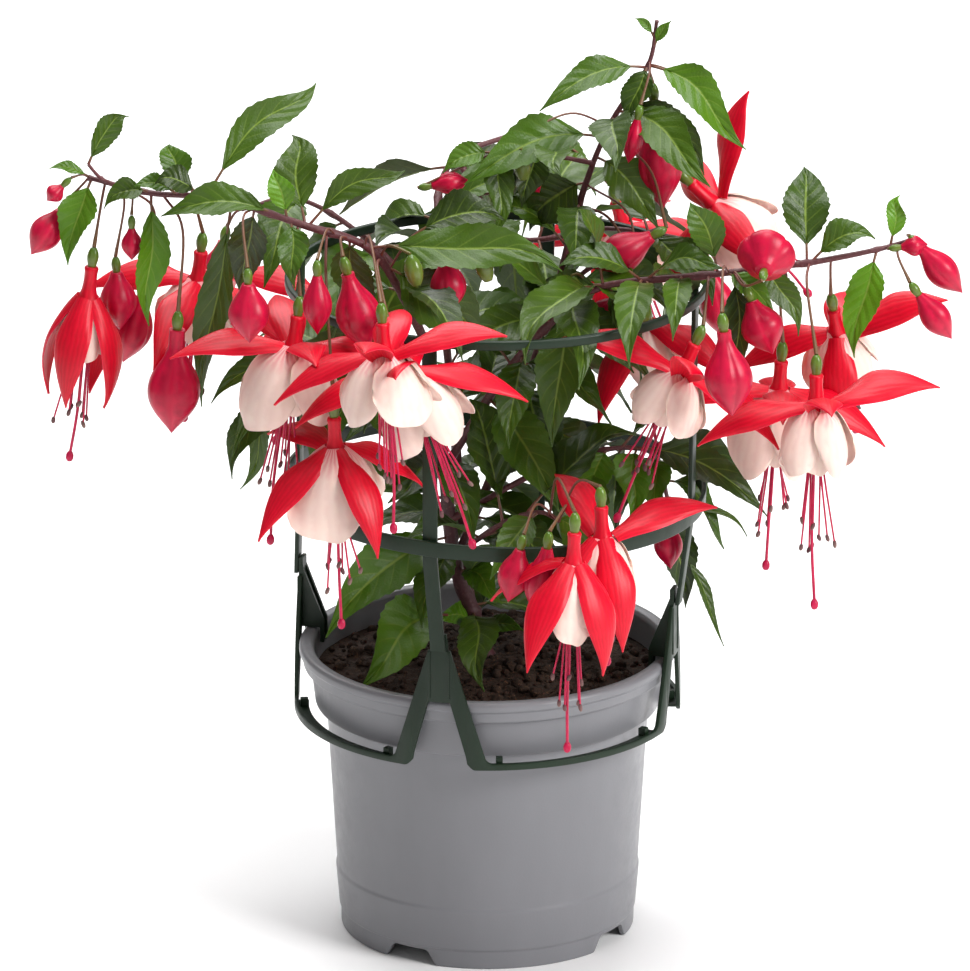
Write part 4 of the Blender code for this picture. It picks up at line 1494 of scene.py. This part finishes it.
@dataclass(frozen=True)
class Bud:
    """One closed bud: stalk, head, aim, length and width."""

    stalk: Point
    head: Point
    aim: Point
    length: float
    width: float

    outline: ClassVar[tuple[tuple[float, float], ...]] = (
        (0, 0.3), (0.06, 0.38), (0.12, 0.46), (0.2, 0.62), (0.3, 0.82), (0.42, 0.97), (0.52, 1.0),
        (0.63, 0.92), (0.74, 0.72), (0.85, 0.43), (0.94, 0.17), (1, 0.02))

    def build(self, name: str, replaced: str | None, bark: Bark, chance: random.Random) -> None:
        """Build the bud: its stalk, ovary, short tube and four pressed sepals with seams between them.

        Args:
            name: The piece's name.
            replaced: The CAD node that it stands for, if any.
            bark: The stems that its stalk may grow from.
            chance: Where its small differences come from.
        """
        draft = MeshDraft(name, Slot.PETAL, (BUD_SKIN, STALK, OVARY))
        head, axis = place(self.head), Vector(self.aim).normalized()
        size = min(1.0, 0.45 + self.length / 80)
        add_stalk_and_ovary(draft, stalk_path(bark, self.stalk, head, axis), head, axis, size)
        start = 7.2 * size
        steps = [k / 32 for k in range(33)]
        path = [head + axis * (start + (self.length - start) * t) * MM for t in steps]
        neck = 0.17 * smoothstep(34, 48, self.length)
        radii = [self.width / 2 * along_table(self.outline, (t - neck) / (1 - neck)) * MM for t in steps]
        phase = chance.uniform(0, 1.5)

        def seams(turn: float, share: float) -> float:
            """Press a seam in along each of the four joins.

            Args:
                turn: The angle about the bud.
                share: The share of the way along it.

            Returns:
                A factor on the bud's radius.
            """
            seam = math.exp(-((math.sin(2 * (turn + phase)) / 0.16) ** 2))
            return 1.02 - 0.025 * math.cos(4 * (turn + phase)) - 0.07 * seam * smoothstep(0.1, 0.4, share)

        draft.tube(path, radii, 56, 0, (0.5, 0.2, 0), lobes=seams)
        piece = draft.build(70)
        if replaced:
            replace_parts(piece, replaced)


@dataclass(frozen=True)
class SeedPod:
    """One seed pod on its stalk, with the scar where its flower dropped."""

    stalk: Point
    head: Point
    aim: Point
    length: float = 13.0
    width: float = 7.5

    def build(self, name: str, bark: Bark) -> None:
        """Build the pod as one piece with its stalk.

        Args:
            name: The piece's name.
            bark: The stems that its stalk may grow from.
        """
        draft = MeshDraft(name, Slot.LEAF, (POD, STALK))
        head, axis = place(self.head), Vector(self.aim).normalized()
        path = stalk_path(bark, self.stalk, head, axis)
        draft.tube(path, [0.6 * MM] * len(path), 8, 1, (0.5, 0.8, 0))
        outline = ((0, 0.2), (0.06, 0.45), (0.2, 0.78), (0.4, 0.98), (0.6, 1.0), (0.8, 0.82), (0.92, 0.6),
                   (0.97, 0.5), (0.985, 0.36), (0.96, 0.05))
        draft.tube([head + axis * self.length * t * MM for t, _ in outline],
                   [self.width / 2 * r * MM for _, r in outline], 20, 0, (0.5, 0.5, 0),
                   lobes=lambda turn, share: 1 + 0.025 * math.cos(4 * turn))
        draft.build(80)


STEMS: dict[str, Stem] = {
    "trunk": Stem(3.4, 2.0, ((0, 14, 103), (-6, 11, 124), (-13, 8, 146), (-17, 3, 185), (-20, -8, 222),
                             (-25, -24, 251)), 0.0, 5),
    "left_branch": Stem(1.9, 1.0, ((-25, -24, 250), (-34, -46, 277), (-47, -60, 300), (-72, -66, 311),
                                   (-104, -58, 319), (-132, -44, 317), (-156, -34, 320)), 0.35, 7),
    "right_branch": Stem(1.9, 0.9, ((-17, 3, 187), (4, -8, 226), (22, -18, 252), (42, -30, 273),
                                    (84, -44, 283), (124, -50, 290), (152, -48, 295),
                                    (167, -44, 298)), 0.3, 7),
    "upright_shoot": Stem(1.9, 0.7, ((-13, 8, 146), (6, 20, 190), (24, 20, 244), (36, 18, 292),
                                     (48, 14, 326), (63, 10, 352), (66.5, 9, 371)), 0.3, 6),
    "back_branch": Stem(1.9, 0.9, ((-7, 11, 128), (-14, 44, 200), (-20, 62, 262), (-16, 92, 284),
                                   (6, 112, 290), (20, 122, 286)), 0.3, 6),
    "low_twig": Stem(1.2, 0.7, ((-13, 8, 149), (6, -20, 172), (20, -44, 185), (28, -57, 186)), 0.4, 4),
    "inner_twig": Stem(1.3, 0.8, ((-14.5, 5, 165), (20, 2, 186), (46, -6, 198), (66, 6, 192),
                                  (72, 24, 166)), 0.4, 4),
}

SIDE_SHOOTS: dict[str, Stem] = {
    "shoot_left_top": Stem(0.9, 0.6, ((-144, -39, 318), (-151, -38, 321), (-156, -36, 326)), 0.6, 2),
    "shoot_middle": Stem(1.0, 0.6, ((42, 16, 310), (20, 10, 316), (2, 4, 318)), 0.5, 3),
    "shoot_inner_left": Stem(1.3, 0.7, ((-19, -6, 214), (-44, -14, 236), (-64, -22, 244),
                                        (-84, -28, 232)), 0.4, 4),
    "shoot_inner_right": Stem(1.2, 0.7, ((14, -13, 240), (30, 0, 262), (52, 8, 278), (68, 14, 284)), 0.4, 4),
    "shoot_back_left": Stem(1.4, 0.7, ((-17, 52, 232), (-48, 66, 262), (-76, 70, 278),
                                       (-98, 62, 276)), 0.4, 4),
    "shoot_back_right": Stem(1.4, 0.7, ((-12, 98, 285), (10, 70, 262), (48, 62, 268), (82, 66, 262)), 0.4, 4),
}

CAD_LEAVES: tuple[Leaf, ...] = (
    Leaf((-156, -36, 315), (-165, -46, 288), 17, 3, (-0.3, -0.9, 0.3), 0.5),
    Leaf((-108, -52, 319), (-66, -30, 358), 16, 7, (0.2, -0.8, 0.6), 0.1),
    Leaf((-70, -58, 314), (-77, -46, 343), 20, 3),
    Leaf((-68, -70, 316), (-32, -62, 332), 13, 6),
    Leaf((-38, -58, 309), (29, -74, 295), 22, 5, (0, -0.75, 0.65), 0.1),
    Leaf((-133, -48, 311), (-132, -50, 264), 15, 2, (0.3, -0.95, 0.1), 0.6),
    Leaf((-100, -44, 312), (-113, -34, 225), 16, 3, (-0.4, -0.9, 0)),
    Leaf((-30, -44, 264), (-101, -40, 206), 26, 8),
    Leaf((42, 10, 322), (-9, -8, 309), 21, 8, young=0.3),
    Leaf((68, 4, 350), (102, -14, 326), 17, 6, young=0.4),
    Leaf((52, 6, 331), (87, -26, 314), 20, 7, young=0.1),
    Leaf((124, -44, 296), (124, -30, 325), 21, 3, (0.1, -0.9, 0.3), 0.1),
    Leaf((154, -52, 289), (142, -64, 256), 18, 3, (-0.4, -0.9, 0.2), 0.8),
    Leaf((36, -26, 262), (25, -44, 212), 22, 4, (-0.2, -0.95, 0.2), 0.1),
    Leaf((64, -12, 202), (113, -4, 171), 18, 7),
    Leaf((73, 26, 162), (80, 34, 116), 16, 3, (0.4, -0.9, 0.1)),
    Leaf((-24, 6, 156), (-64, -30, 128), 25, 9, young=0.4),
    Leaf((-16, -4, 128), (-50, -46, 112.5), 26, 8, young=0.4),
    Leaf((1, 114, 294), (-12, 146, 254), 22, 4, (-0.2, 0.9, 0.4)),
    Leaf((-22, 96, 284), (-60, 128, 254), 20, 4, (-0.3, 0.8, 0.5)),
    Leaf((39, 26, 286), (86, 66, 266), 22, 7, (0.2, 0.4, 0.8)),
)

MORE_LEAVES: tuple[Leaf, ...] = (
    Leaf((-156, -36, 326), (-140, -32, 344), 12, 6, (0.5, -0.8, 0.3), 0.1, 0.08),
    Leaf((-132, -44, 317), (-150, -48, 312), 11, 4, (0, -0.7, 0.7)),
    Leaf((-112, -54, 318), (-130, -58, 326), 13, 4, (0, -0.7, 0.7)),
    Leaf((-30, -36, 296), (8, -34, 303), 19, 6, (0, -0.7, 0.7)),
    Leaf((-40, -50, 292), (-2, -44, 250), 27, 6, (0.1, -0.9, 0.4)),
    Leaf((42, -30, 273), (14, -90, 264), 21, 10, (0.1, -0.3, 0.9)),
    Leaf((34, -25, 266), (36, -88, 252), 20, 10, (-0.1, -0.3, 0.9)),
    Leaf((-34, -46, 277), (-8, -98, 268), 20, 9, (0.2, -0.3, 0.9)),
    Leaf((60, -38, 279), (54, -90, 262), 17, 8, (0, -0.3, 0.9), 0.1),
    Leaf((76, -42, 281), (72, -78, 268), 13, 6, (0, -0.3, 0.9), 0.1),
    Leaf((-56, -58, 304), (-50, -48, 262), 18, 5, (-0.2, -0.9, 0.3)),
    Leaf((-90, -58, 314), (-96, -44, 272), 17, 5, (-0.2, -0.9, 0.2)),
    Leaf((60, -38, 278), (28, -52, 290), 15, 6, (0, -0.6, 0.8), 0.1),
    Leaf((62, -38, 279), (92, -60, 292), 14, 6, (0, -0.6, 0.8), 0.1),
    Leaf((46, -32, 275), (16, -34, 262), 17, 5, (0, -0.7, 0.6)),
    Leaf((46, -32, 275), (62, -28, 242), 17, 5, (0.1, -0.9, 0.3)),
    Leaf((108, -48, 287), (122, -56, 262), 13, 5, (0, -0.8, 0.5)),
    Leaf((56, 12, 338), (86, 6, 308), 18, 5, (0.1, -0.8, 0.5)),
    Leaf((-156, -36, 319), (-171, -40, 326), 6, 2, (0, -0.6, 0.8), 0.4),
    Leaf((-120, -48, 318), (-138, -54, 323), 9, 3, (0, -0.5, 0.8), 0.3),
    Leaf((-120, -50, 317), (-124, -42, 337), 14, 3, (0.2, -0.9, 0.3), 0.3),
    Leaf((-78, -64, 318), (-128, -62, 314), 16, 6, (0, -0.6, 0.8), 0.1),
    Leaf((-78, -68, 314), (-83, -66, 333), 12, 2, (0, -0.9, 0.3), 0.9),
    Leaf((-77, -68, 312), (-75, -78, 289), 14, 3, (0.1, -0.9, 0.3), 0.3),
    Leaf((64, 10, 352), (55, 0, 330), 14, 3, (-0.4, -0.9, 0.2), 0.1),
    Leaf((61, 9, 352), (20, -6, 339), 15, 6, (0, -0.7, 0.7), 0.2),
    Leaf((44, 14, 312), (68, 6, 286), 20, 5, (0.1, -0.9, 0.4)),
    Leaf((38, 20, 302), (15, 24, 279), 25, 5, (0, -0.9, 0.4)),
    Leaf((126, -48, 293), (152, -52, 303), 15, 5, (0, -0.7, 0.7), 0.1),
    Leaf((157, -46, 297), (161, -44, 316), 9, 2, (0.2, -0.9, 0.3), 0.8),
    Leaf((90, -46, 284), (80, -50, 314), 16, 5, (0, -0.9, 0.4), 0.3),
    Leaf((92, -48, 284), (113, -62, 271), 11, 4, young=0.4),
    Leaf((96, -46, 285), (100, -60, 240), 14, 3, (-0.3, -0.9, 0.1)),
    Leaf((14, -14, 240), (8, -44, 212), 18, 5, (0, -0.9, 0.4), 0.1),
    Leaf((6, -14, 214), (28, -40, 184), 23, 5, (0.1, -0.9, 0.4), 0.2),
    Leaf((48, -8, 199), (38, -20, 178), 17, 4, (-0.1, -0.9, 0.3), 0.5),
    Leaf((60, -2, 196), (56, -20, 174), 18, 4, (0, -0.9, 0.3), 0.6),
    Leaf((66, 4, 193), (68, -14, 172), 14, 4, (0.1, -0.9, 0.3), 0.5),
    Leaf((72, 22, 168), (104, 10, 157), 6, 3, (0, -0.4, 0.9)),
    Leaf((78, 32, 142), (95, 26, 104), 6, 3, (0.6, -0.8, 0.1)),
    Leaf((-84, -28, 232), (-101, -36, 196), 15, 5, (-0.2, -0.9, 0.3)),
    Leaf((-80, -26, 236), (-98, -22, 186), 12, 5, (-0.4, -0.8, 0.1)),
    Leaf((-66, -22, 243), (-110, -24, 224), 14, 6, (0, -0.6, 0.8), 0.1),
    Leaf((-62, -22, 244), (-70, -40, 200), 20, 5, (0, -0.9, 0.3)),
    Leaf((-46, -15, 236), (-34, -34, 196), 22, 5, (0.1, -0.9, 0.3)),
    Leaf((-44, -14, 236), (-58, 4, 268), 20, 5, (0, -0.8, 0.4)),
    Leaf((-6, 11, 124), (-2, -36, 108), 19, 6, (0, -0.6, 0.8)),
    Leaf((-4, 12, 118), (-20, -8, 128), 11, 3, young=0.6),
    Leaf((-3, 12, 116), (14, -6, 122), 9, 3, young=0.3),
    Leaf((-12, 8, 142), (6, -16, 138), 14, 4, (0.1, -0.8, 0.6), 0.3),
    Leaf((-8, 11, 126), (34, 20, 112), 20, 6, (0, -0.4, 0.9)),
    Leaf((-13, 9, 146), (-34, 38, 134), 20, 6, (0, 0.3, 0.9), 0.1),
    Leaf((30, -22, 260), (58, -44, 244), 18, 5, (0.1, -0.9, 0.4)),
    Leaf((26, -20, 256), (-12, -46, 250), 19, 6, (-0.1, -0.9, 0.4)),
    Leaf((20, -44, 185), (2, -64, 164), 15, 4, (-0.1, -0.9, 0.4), 0.2),
    Leaf((24, -52, 186), (48, -62, 170), 12, 4, (0.1, -0.9, 0.4), 0.5),
    Leaf((2, 4, 318), (-18, -2, 312), 12, 3, young=0.3),
    Leaf((20, 10, 316), (14, 2, 296), 16, 4, (0, -0.9, 0.3)),
    Leaf((64, 10, 360), (72, 6, 371), 5, 2, (0, -0.9, 0.3), 0.5),
    Leaf((65, 10, 364), (58, 8, 372), 4, 2, (0, -0.9, 0.3), 0.5),
)

CAD_FLOWERS: tuple[Flower, ...] = (
    Flower((-151, -37, 310), (-154, -40, 293), (-0.12, 0, -1), 24, (8, 4, 8, 8), (8, 23), 42),
    Flower((-76, -72, 306), (-73, -74, 284), (-0.12, 0, -1), -10, (76, 102, 80, 96), (16, 29), 50),
    Flower((-47, -66, 299), (-41, -125, 298), (0.05, 0, -1), 8, (100, 112, 62, 92), (14, 24), 46),
    Flower((-39, -60, 294), (-38, -100, 281), (0.36, -0.02, -1), 0, (52, 108, 82, 84), (14, 28), 45),
    Flower((-62, -76, 304), (-60, -88, 247), (0.03, 0.02, -1), 56, (30, 46, 80, 54), (15, 31), 41),
    Flower((17, -56, 191), (34, -112, 208), (-0.03, 0, -1), 40, (14, 28, 54, 20), (10, 29), 46),
    Flower((30, -61, 189), (44, -87, 210), (0.04, 0, -1), -22, (96, 14, 30, 106), (10, 24), 26),
    Flower((86, -50, 280), (84, -62, 268), (-0.42, 0, -1), 4, (72, 110, 82, 60), (12, 22), 42),
    Flower((126, -56, 287), (128, -80, 262), (0, 0, -1), -6, (98, 106, 70, 40), (12, 27), 54),
    Flower((112, -44, 288), (116, -28, 250), (-0.06, 0.1, -1), 0, (60, 100, 76, 60), (14, 33), 42),
    Flower((136, -42, 290), (135, -20, 267), (0.15, 0.45, -0.9), 6, (112, 26, 62, 60), (11, 24), 30),
    Flower((58, 20, 342), (75, 22, 305), (0.7, 0.05, -0.7), 80, (58, 62, 100, 122), (12, 24), 28),
    Flower((22, 118, 282), (50, 110, 270), (0.25, 0.35, -1), 20, (70, 60, 70, 60), (13, 27), 44),
    Flower((-34, 78, 262), (-60, 84, 248), (-0.3, 0.3, -1), 35, (62, 58, 66, 54), (13, 27), 44),
)

MORE_FLOWERS: tuple[Flower, ...] = (
    Flower((-112, -50, 316), (-112, -12, 290), (-0.1, 0.1, -1), 20, (60, 60, 70, 60), (12, 24), 34),
    Flower((36, 18, 292), (60, 18, 264), (0.1, -0.1, -1), 40, (60, 40, 60, 50), (12, 22), 28),
)

CAD_BUDS: tuple[Bud, ...] = (
    Bud((-158, -34, 316), (-164, -34, 311), (-0.55, 0, -0.84), 27, 12.5),
    Bud((-126, -46, 314), (-121, -50, 270), (-0.06, 0, -1), 50, 21),
    Bud((-142, -40, 314), (-134, -18, 272), (-0.28, 0.1, -1), 36, 15),
    Bud((-92, -64, 314), (-93, -91, 301), (0.02, 0, -1), 30, 16),
    Bud((-54, -66, 304), (-56, -80, 302), (0.24, 0.08, -1), 40, 17),
    Bud((94, -50, 282), (91, -92, 283), (0.1, 0, -1), 42, 18.5),
    Bud((24, -60, 188), (14, -95, 193), (-0.22, 0, -1), 28, 13),
    Bud((166, -44, 298), (165, -50, 301), (0.67, 0, -0.75), 31, 12),
    Bud((164, -46, 296), (165, -60, 285), (0.58, 0, -0.81), 28, 11.5),
)

MORE_BUDS: tuple[Bud, ...] = (
    Bud((-156, -35, 319), (-163, -38, 321), (-0.7, 0, -0.7), 13, 7),
    Bud((-140, -42, 316), (-139, -46, 308), (0, 0, -1), 18, 8),
    Bud((-144, -38, 316), (-146, -24, 284), (0.05, 0, -1), 30, 14),
    Bud((-60, -66, 305), (-66, -96, 306), (0, 0, -1), 30, 11),
    Bud((-36, -52, 290), (-17, -58, 300), (0.1, 0, -1), 28, 14),
    Bud((2, 4, 318), (-27, 0, 305), (1, 0, 0.15), 20, 9),
    Bud((20, 10, 316), (12, 14, 312), (0.5, 0, -0.8), 16, 8),
    Bud((24, -60, 188), (24, -100, 196), (-0.12, 0, -1), 36, 14),
    Bud((70, 14, 184), (70, -12, 176), (0.1, 0, -1), 26, 11),
    Bud((96, -50, 284), (101, -56, 282), (0.35, -0.2, -0.85), 28, 17),
    Bud((96, -48, 285), (107, -76, 292), (0.1, 0.9, 0.3), 26, 22),
    Bud((64, 10, 354), (65, 15, 343), (0.08, 0, -1), 52, 18),
    Bud((158, -46, 297), (157, -50, 296), (0.95, 0, 0.12), 15, 8),
    Bud((64, 10, 352), (76, 6, 350), (0.85, 0, -0.5), 16, 7),
    Bud((64, 10, 354), (60, -4, 340), (-0.2, 0, -1), 24, 8),
    Bud((48, 14, 326), (14, 4, 326), (-0.6, 0, -0.75), 19, 9),
    Bud((46, 14, 322), (70, -12, 292), (-0.85, 0, -0.5), 33, 15),
    Bud((40, 10, 300), (56, -14, 268), (-0.6, 0, -0.7), 24, 12),
    Bud((-98, 62, 276), (-104, 64, 268), (-0.2, 0.1, -1), 38, 16),
    Bud((82, 66, 262), (88, 68, 254), (0.2, 0.1, -1), 36, 15),
)

PODS: tuple[SeedPod, ...] = (
    SeedPod((-38, -58, 296), (-30, -70, 300), (0.2, 0, -1)),
    SeedPod((-14, -30, 262), (-3, -62, 298), (0.3, 0, -1), 12, 7),
    SeedPod((20, 10, 316), (13, 0, 320), (0.1, 0, -1), 12, 7),
    SeedPod((42, -30, 273), (33, -36, 280), (0.1, 0, -1), 12, 8),
    SeedPod((62, -38, 279), (62, -44, 272), (-0.1, 0, -1), 11, 6),
)


@dataclass(frozen=True)
class Foliage:
    """The leaves inside the plant, in crossed pairs along the stems."""

    gap_mm: float = 17.0
    left: float = -98.0
    right: float = 116.0
    front: float = -46.0
    back: float = 150.0
    low: float = 128.0
    slope: float = 0.344
    roof: tuple[tuple[float, float], ...] = (
        (-98, 262), (-60, 282), (-20, 292), (10, 304), (40, 326), (66, 322), (92, 276), (116, 256))

    def inside(self, spot: Point) -> bool:
        """Tell whether a leaf's tip stays among the branches, under a roof that rises to the front.

        Args:
            spot: The tip's place in millimetres from the datum.

        Returns:
            Whether the leaf is kept.
        """
        x, y, z = spot
        low_enough = z + self.slope * y < along_table(self.roof, x)
        return self.left < x < self.right and self.front < y < self.back and self.low < z and low_enough

    def build(self, name: str, stem: Stem, bark: Bark, chance: random.Random) -> None:
        """Build one stem's inner leaves as one piece.

        Args:
            name: The piece's name.
            stem: The stem that they grow from.
            bark: All the stems.
            chance: Where their differences come from.
        """
        draft = MeshDraft(name, Slot.LEAF, (LEAF, STALK))
        path = stem.path()
        run, turn = 0.0, chance.uniform(0, 180)
        for before, here in zip(path, path[1:]):
            run += (here - before).length
            if run < self.gap_mm * MM:
                continue
            run, turn = 0.0, turn + 90 + chance.uniform(-25, 25)
            for half in (0, 180):
                self.grow(draft, here, (here - before).normalized(), turn + half, bark, chance)
        if draft.points:
            draft.build(80)

    def grow(self, draft: MeshDraft, node: Vector, ahead: Vector, turn: float, bark: Bark,
             chance: random.Random) -> None:
        """Grow one leaf outwards, up a little and then down.

        Args:
            draft: The piece to add to.
            node: Where it starts.
            ahead: The way the stem runs there.
            turn: Its angle about the stem in degrees.
            bark: All the stems.
            chance: Where its differences come from.
        """
        side = ahead.orthogonal().normalized()
        outward = Matrix.Rotation(math.radians(turn), 3, ahead) @ side
        length = chance.uniform(36, 56)
        onward, droop = chance.uniform(0.1, 0.5), chance.uniform(-0.9, 0.1)
        reach = (outward + ahead * onward + Vector((0, 0, droop))).normalized()
        base = (node - DATUM) / MM
        tip = base + reach * length
        if self.inside(tuple(tip)):
            face = (outward * 0.4 + Vector((chance.uniform(-0.3, 0.3), -0.35, 1.0))).normalized()
            leaf = Leaf(tuple(base), tuple(tip), length * chance.uniform(0.38, 0.48), chance.uniform(4, 9),
                        tuple(face), chance.uniform(0.0, 0.2))
            leaf.grow(draft, bark, chance)


@dataclass
class Fuchsia:
    """The whole plant: its stems first, then everything that grows from them."""

    seed: int = 5
    bark: Bark = field(init=False)

    def __post_init__(self) -> None:
        """Gather the stems' paths."""
        stems = [*STEMS.values(), *SIDE_SHOOTS.values()]
        self.bark = Bark(tuple(tuple(stem.path()) for stem in stems))

    def build_stems(self) -> None:
        """Build the stems and the side shoots."""
        for name, stem in STEMS.items():
            stem.build(f"{name}_wood", name)
        for name, stem in SIDE_SHOOTS.items():
            stem.build(name, None)

    def build_rows(self, word: str, node: str, first: Sequence[Leaf | Flower | Bud],
                   more: Sequence[Leaf | Flower | Bud]) -> None:
        """Build the pieces that stand for CAD nodes, then the ones that don't.

        Args:
            word: The pieces' name.
            node: The CAD nodes' name.
            first: One growth for each CAD node, in order.
            more: The other growths.
        """
        for number, growth in enumerate([*first, *more], 1):
            replaced = f"{node}_{number:02d}" if number <= len(first) else None
            growth.build(f"{word}_{number:02d}", replaced, self.bark, random.Random(self.seed * 100 + number))

    def build(self) -> None:
        """Build the whole plant."""
        self.build_stems()
        self.build_rows("green_leaf", "leaf", CAD_LEAVES, MORE_LEAVES)
        self.build_rows("open_flower", "flower", CAD_FLOWERS, MORE_FLOWERS)
        self.build_rows("closed_bud", "bud", CAD_BUDS, MORE_BUDS)
        for number, pod in enumerate(PODS, 1):
            pod.build(f"seed_pod_{number:02d}", self.bark)
        inner = Foliage()
        for number, (name, stem) in enumerate([*STEMS.items(), *SIDE_SHOOTS.items()], 1):
            inner.build(f"{name}_foliage", stem, self.bark, random.Random(self.seed * 1000 + number))


@dataclass
class Studio:
    """A plain pale floor, soft lights and the camera."""

    distance: float = 5.5
    elevation: float = 19.0
    aim_height: float = 0.183
    metres_per_step: float = 0.000397
    image_width: int = 970
    sensor_mm: float = 36.0
    floor_half: float = 6.0
    surround: float = 0.19
    softboxes: tuple[tuple[str, Point, float, float, Point], ...] = (
        ("key_softbox", (2.0, -1.4, 1.5), 1.1, 69, (0, 0, 0.2)),
        ("fill_softbox", (-0.8, -2.6, 0.9), 1.4, 5, (0, 0, 0.2)),
        ("top_softbox", (0.1, -0.3, 2.4), 1.2, 38, (0, 0, 0.2)),
        ("backdrop_softbox", (-0.3, 1.5, 1.9), 2.0, 56, (-0.2, 1.1, 0)))

    def build(self) -> None:
        """Build the floor, the lights, the surround and the camera."""
        self.build_floor()
        for softbox in self.softboxes:
            self.add_light(*softbox)
        self.build_surround()
        self.build_camera()
        bpy.context.scene.view_settings.view_transform = "Standard"

    def build_floor(self) -> None:
        """Lay the background paper at the foot's level."""
        mesh = bpy.data.meshes.new("studio_floor")
        half = self.floor_half
        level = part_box("pot")[0].z
        corners = [(x, y, level) for x, y in ((-half, -half), (half, -half), (half, half), (-half, half))]
        mesh.from_pydata(corners, [], [(0, 1, 2, 3)])
        mesh.materials.append(StudioPaper().material())
        floor = bpy.data.objects.new("studio_floor", mesh)
        bpy.context.scene.collection.objects.link(floor)

    def add_light(self, name: str, spot: Point, size: float, watts: float, aim: Point) -> None:
        """Hang a square softbox.

        Args:
            name: The lamp's name.
            spot: Where it hangs.
            size: The length of its side in metres.
            watts: Its power.
            aim: The point that it faces.
        """
        light = bpy.data.lights.new(name, "AREA")
        light.shape = "SQUARE"
        light.size = size
        light.energy = watts
        lamp = bpy.data.objects.new(name, light)
        lamp.location = spot
        lamp.rotation_euler = (Vector(aim) - Vector(spot)).to_track_quat("-Z", "Y").to_euler()
        bpy.context.scene.collection.objects.link(lamp)

    def build_surround(self) -> None:
        """Light the scene evenly from a white surround."""
        world = bpy.data.worlds.new("white_surround")
        world.use_nodes = True
        world.node_tree.nodes["Background"].inputs["Color"].default_value = (1, 1, 1, 1)
        world.node_tree.nodes["Background"].inputs["Strength"].default_value = self.surround
        bpy.context.scene.world = world

    def build_camera(self) -> None:
        """Set a long lens in front of the plant, a little above it."""
        camera = bpy.data.cameras.new("long_lens")
        camera.sensor_width = self.sensor_mm
        camera.lens = self.sensor_mm * self.distance / (self.image_width * self.metres_per_step)
        camera.clip_end = 50
        target = Vector((DATUM.x - 0.001, DATUM.y, self.aim_height))
        rise = math.radians(self.elevation)
        eye = bpy.data.objects.new("long_lens", camera)
        eye.location = target + self.distance * Vector((0, -math.cos(rise), math.sin(rise)))
        eye.rotation_euler = (target - eye.location).to_track_quat("-Z", "Y").to_euler()
        bpy.context.scene.collection.objects.link(eye)
        bpy.context.scene.camera = eye


def main() -> None:
    """Build every piece in order, then the studio."""
    logging.basicConfig(level=logging.INFO, format="%(name)s: %(message)s")
    GrowerPot().build()
    Compost().build()
    PlantSupport().build()
    Fuchsia().build()
    Studio().build()


if __name__ == "__main__":
    main()
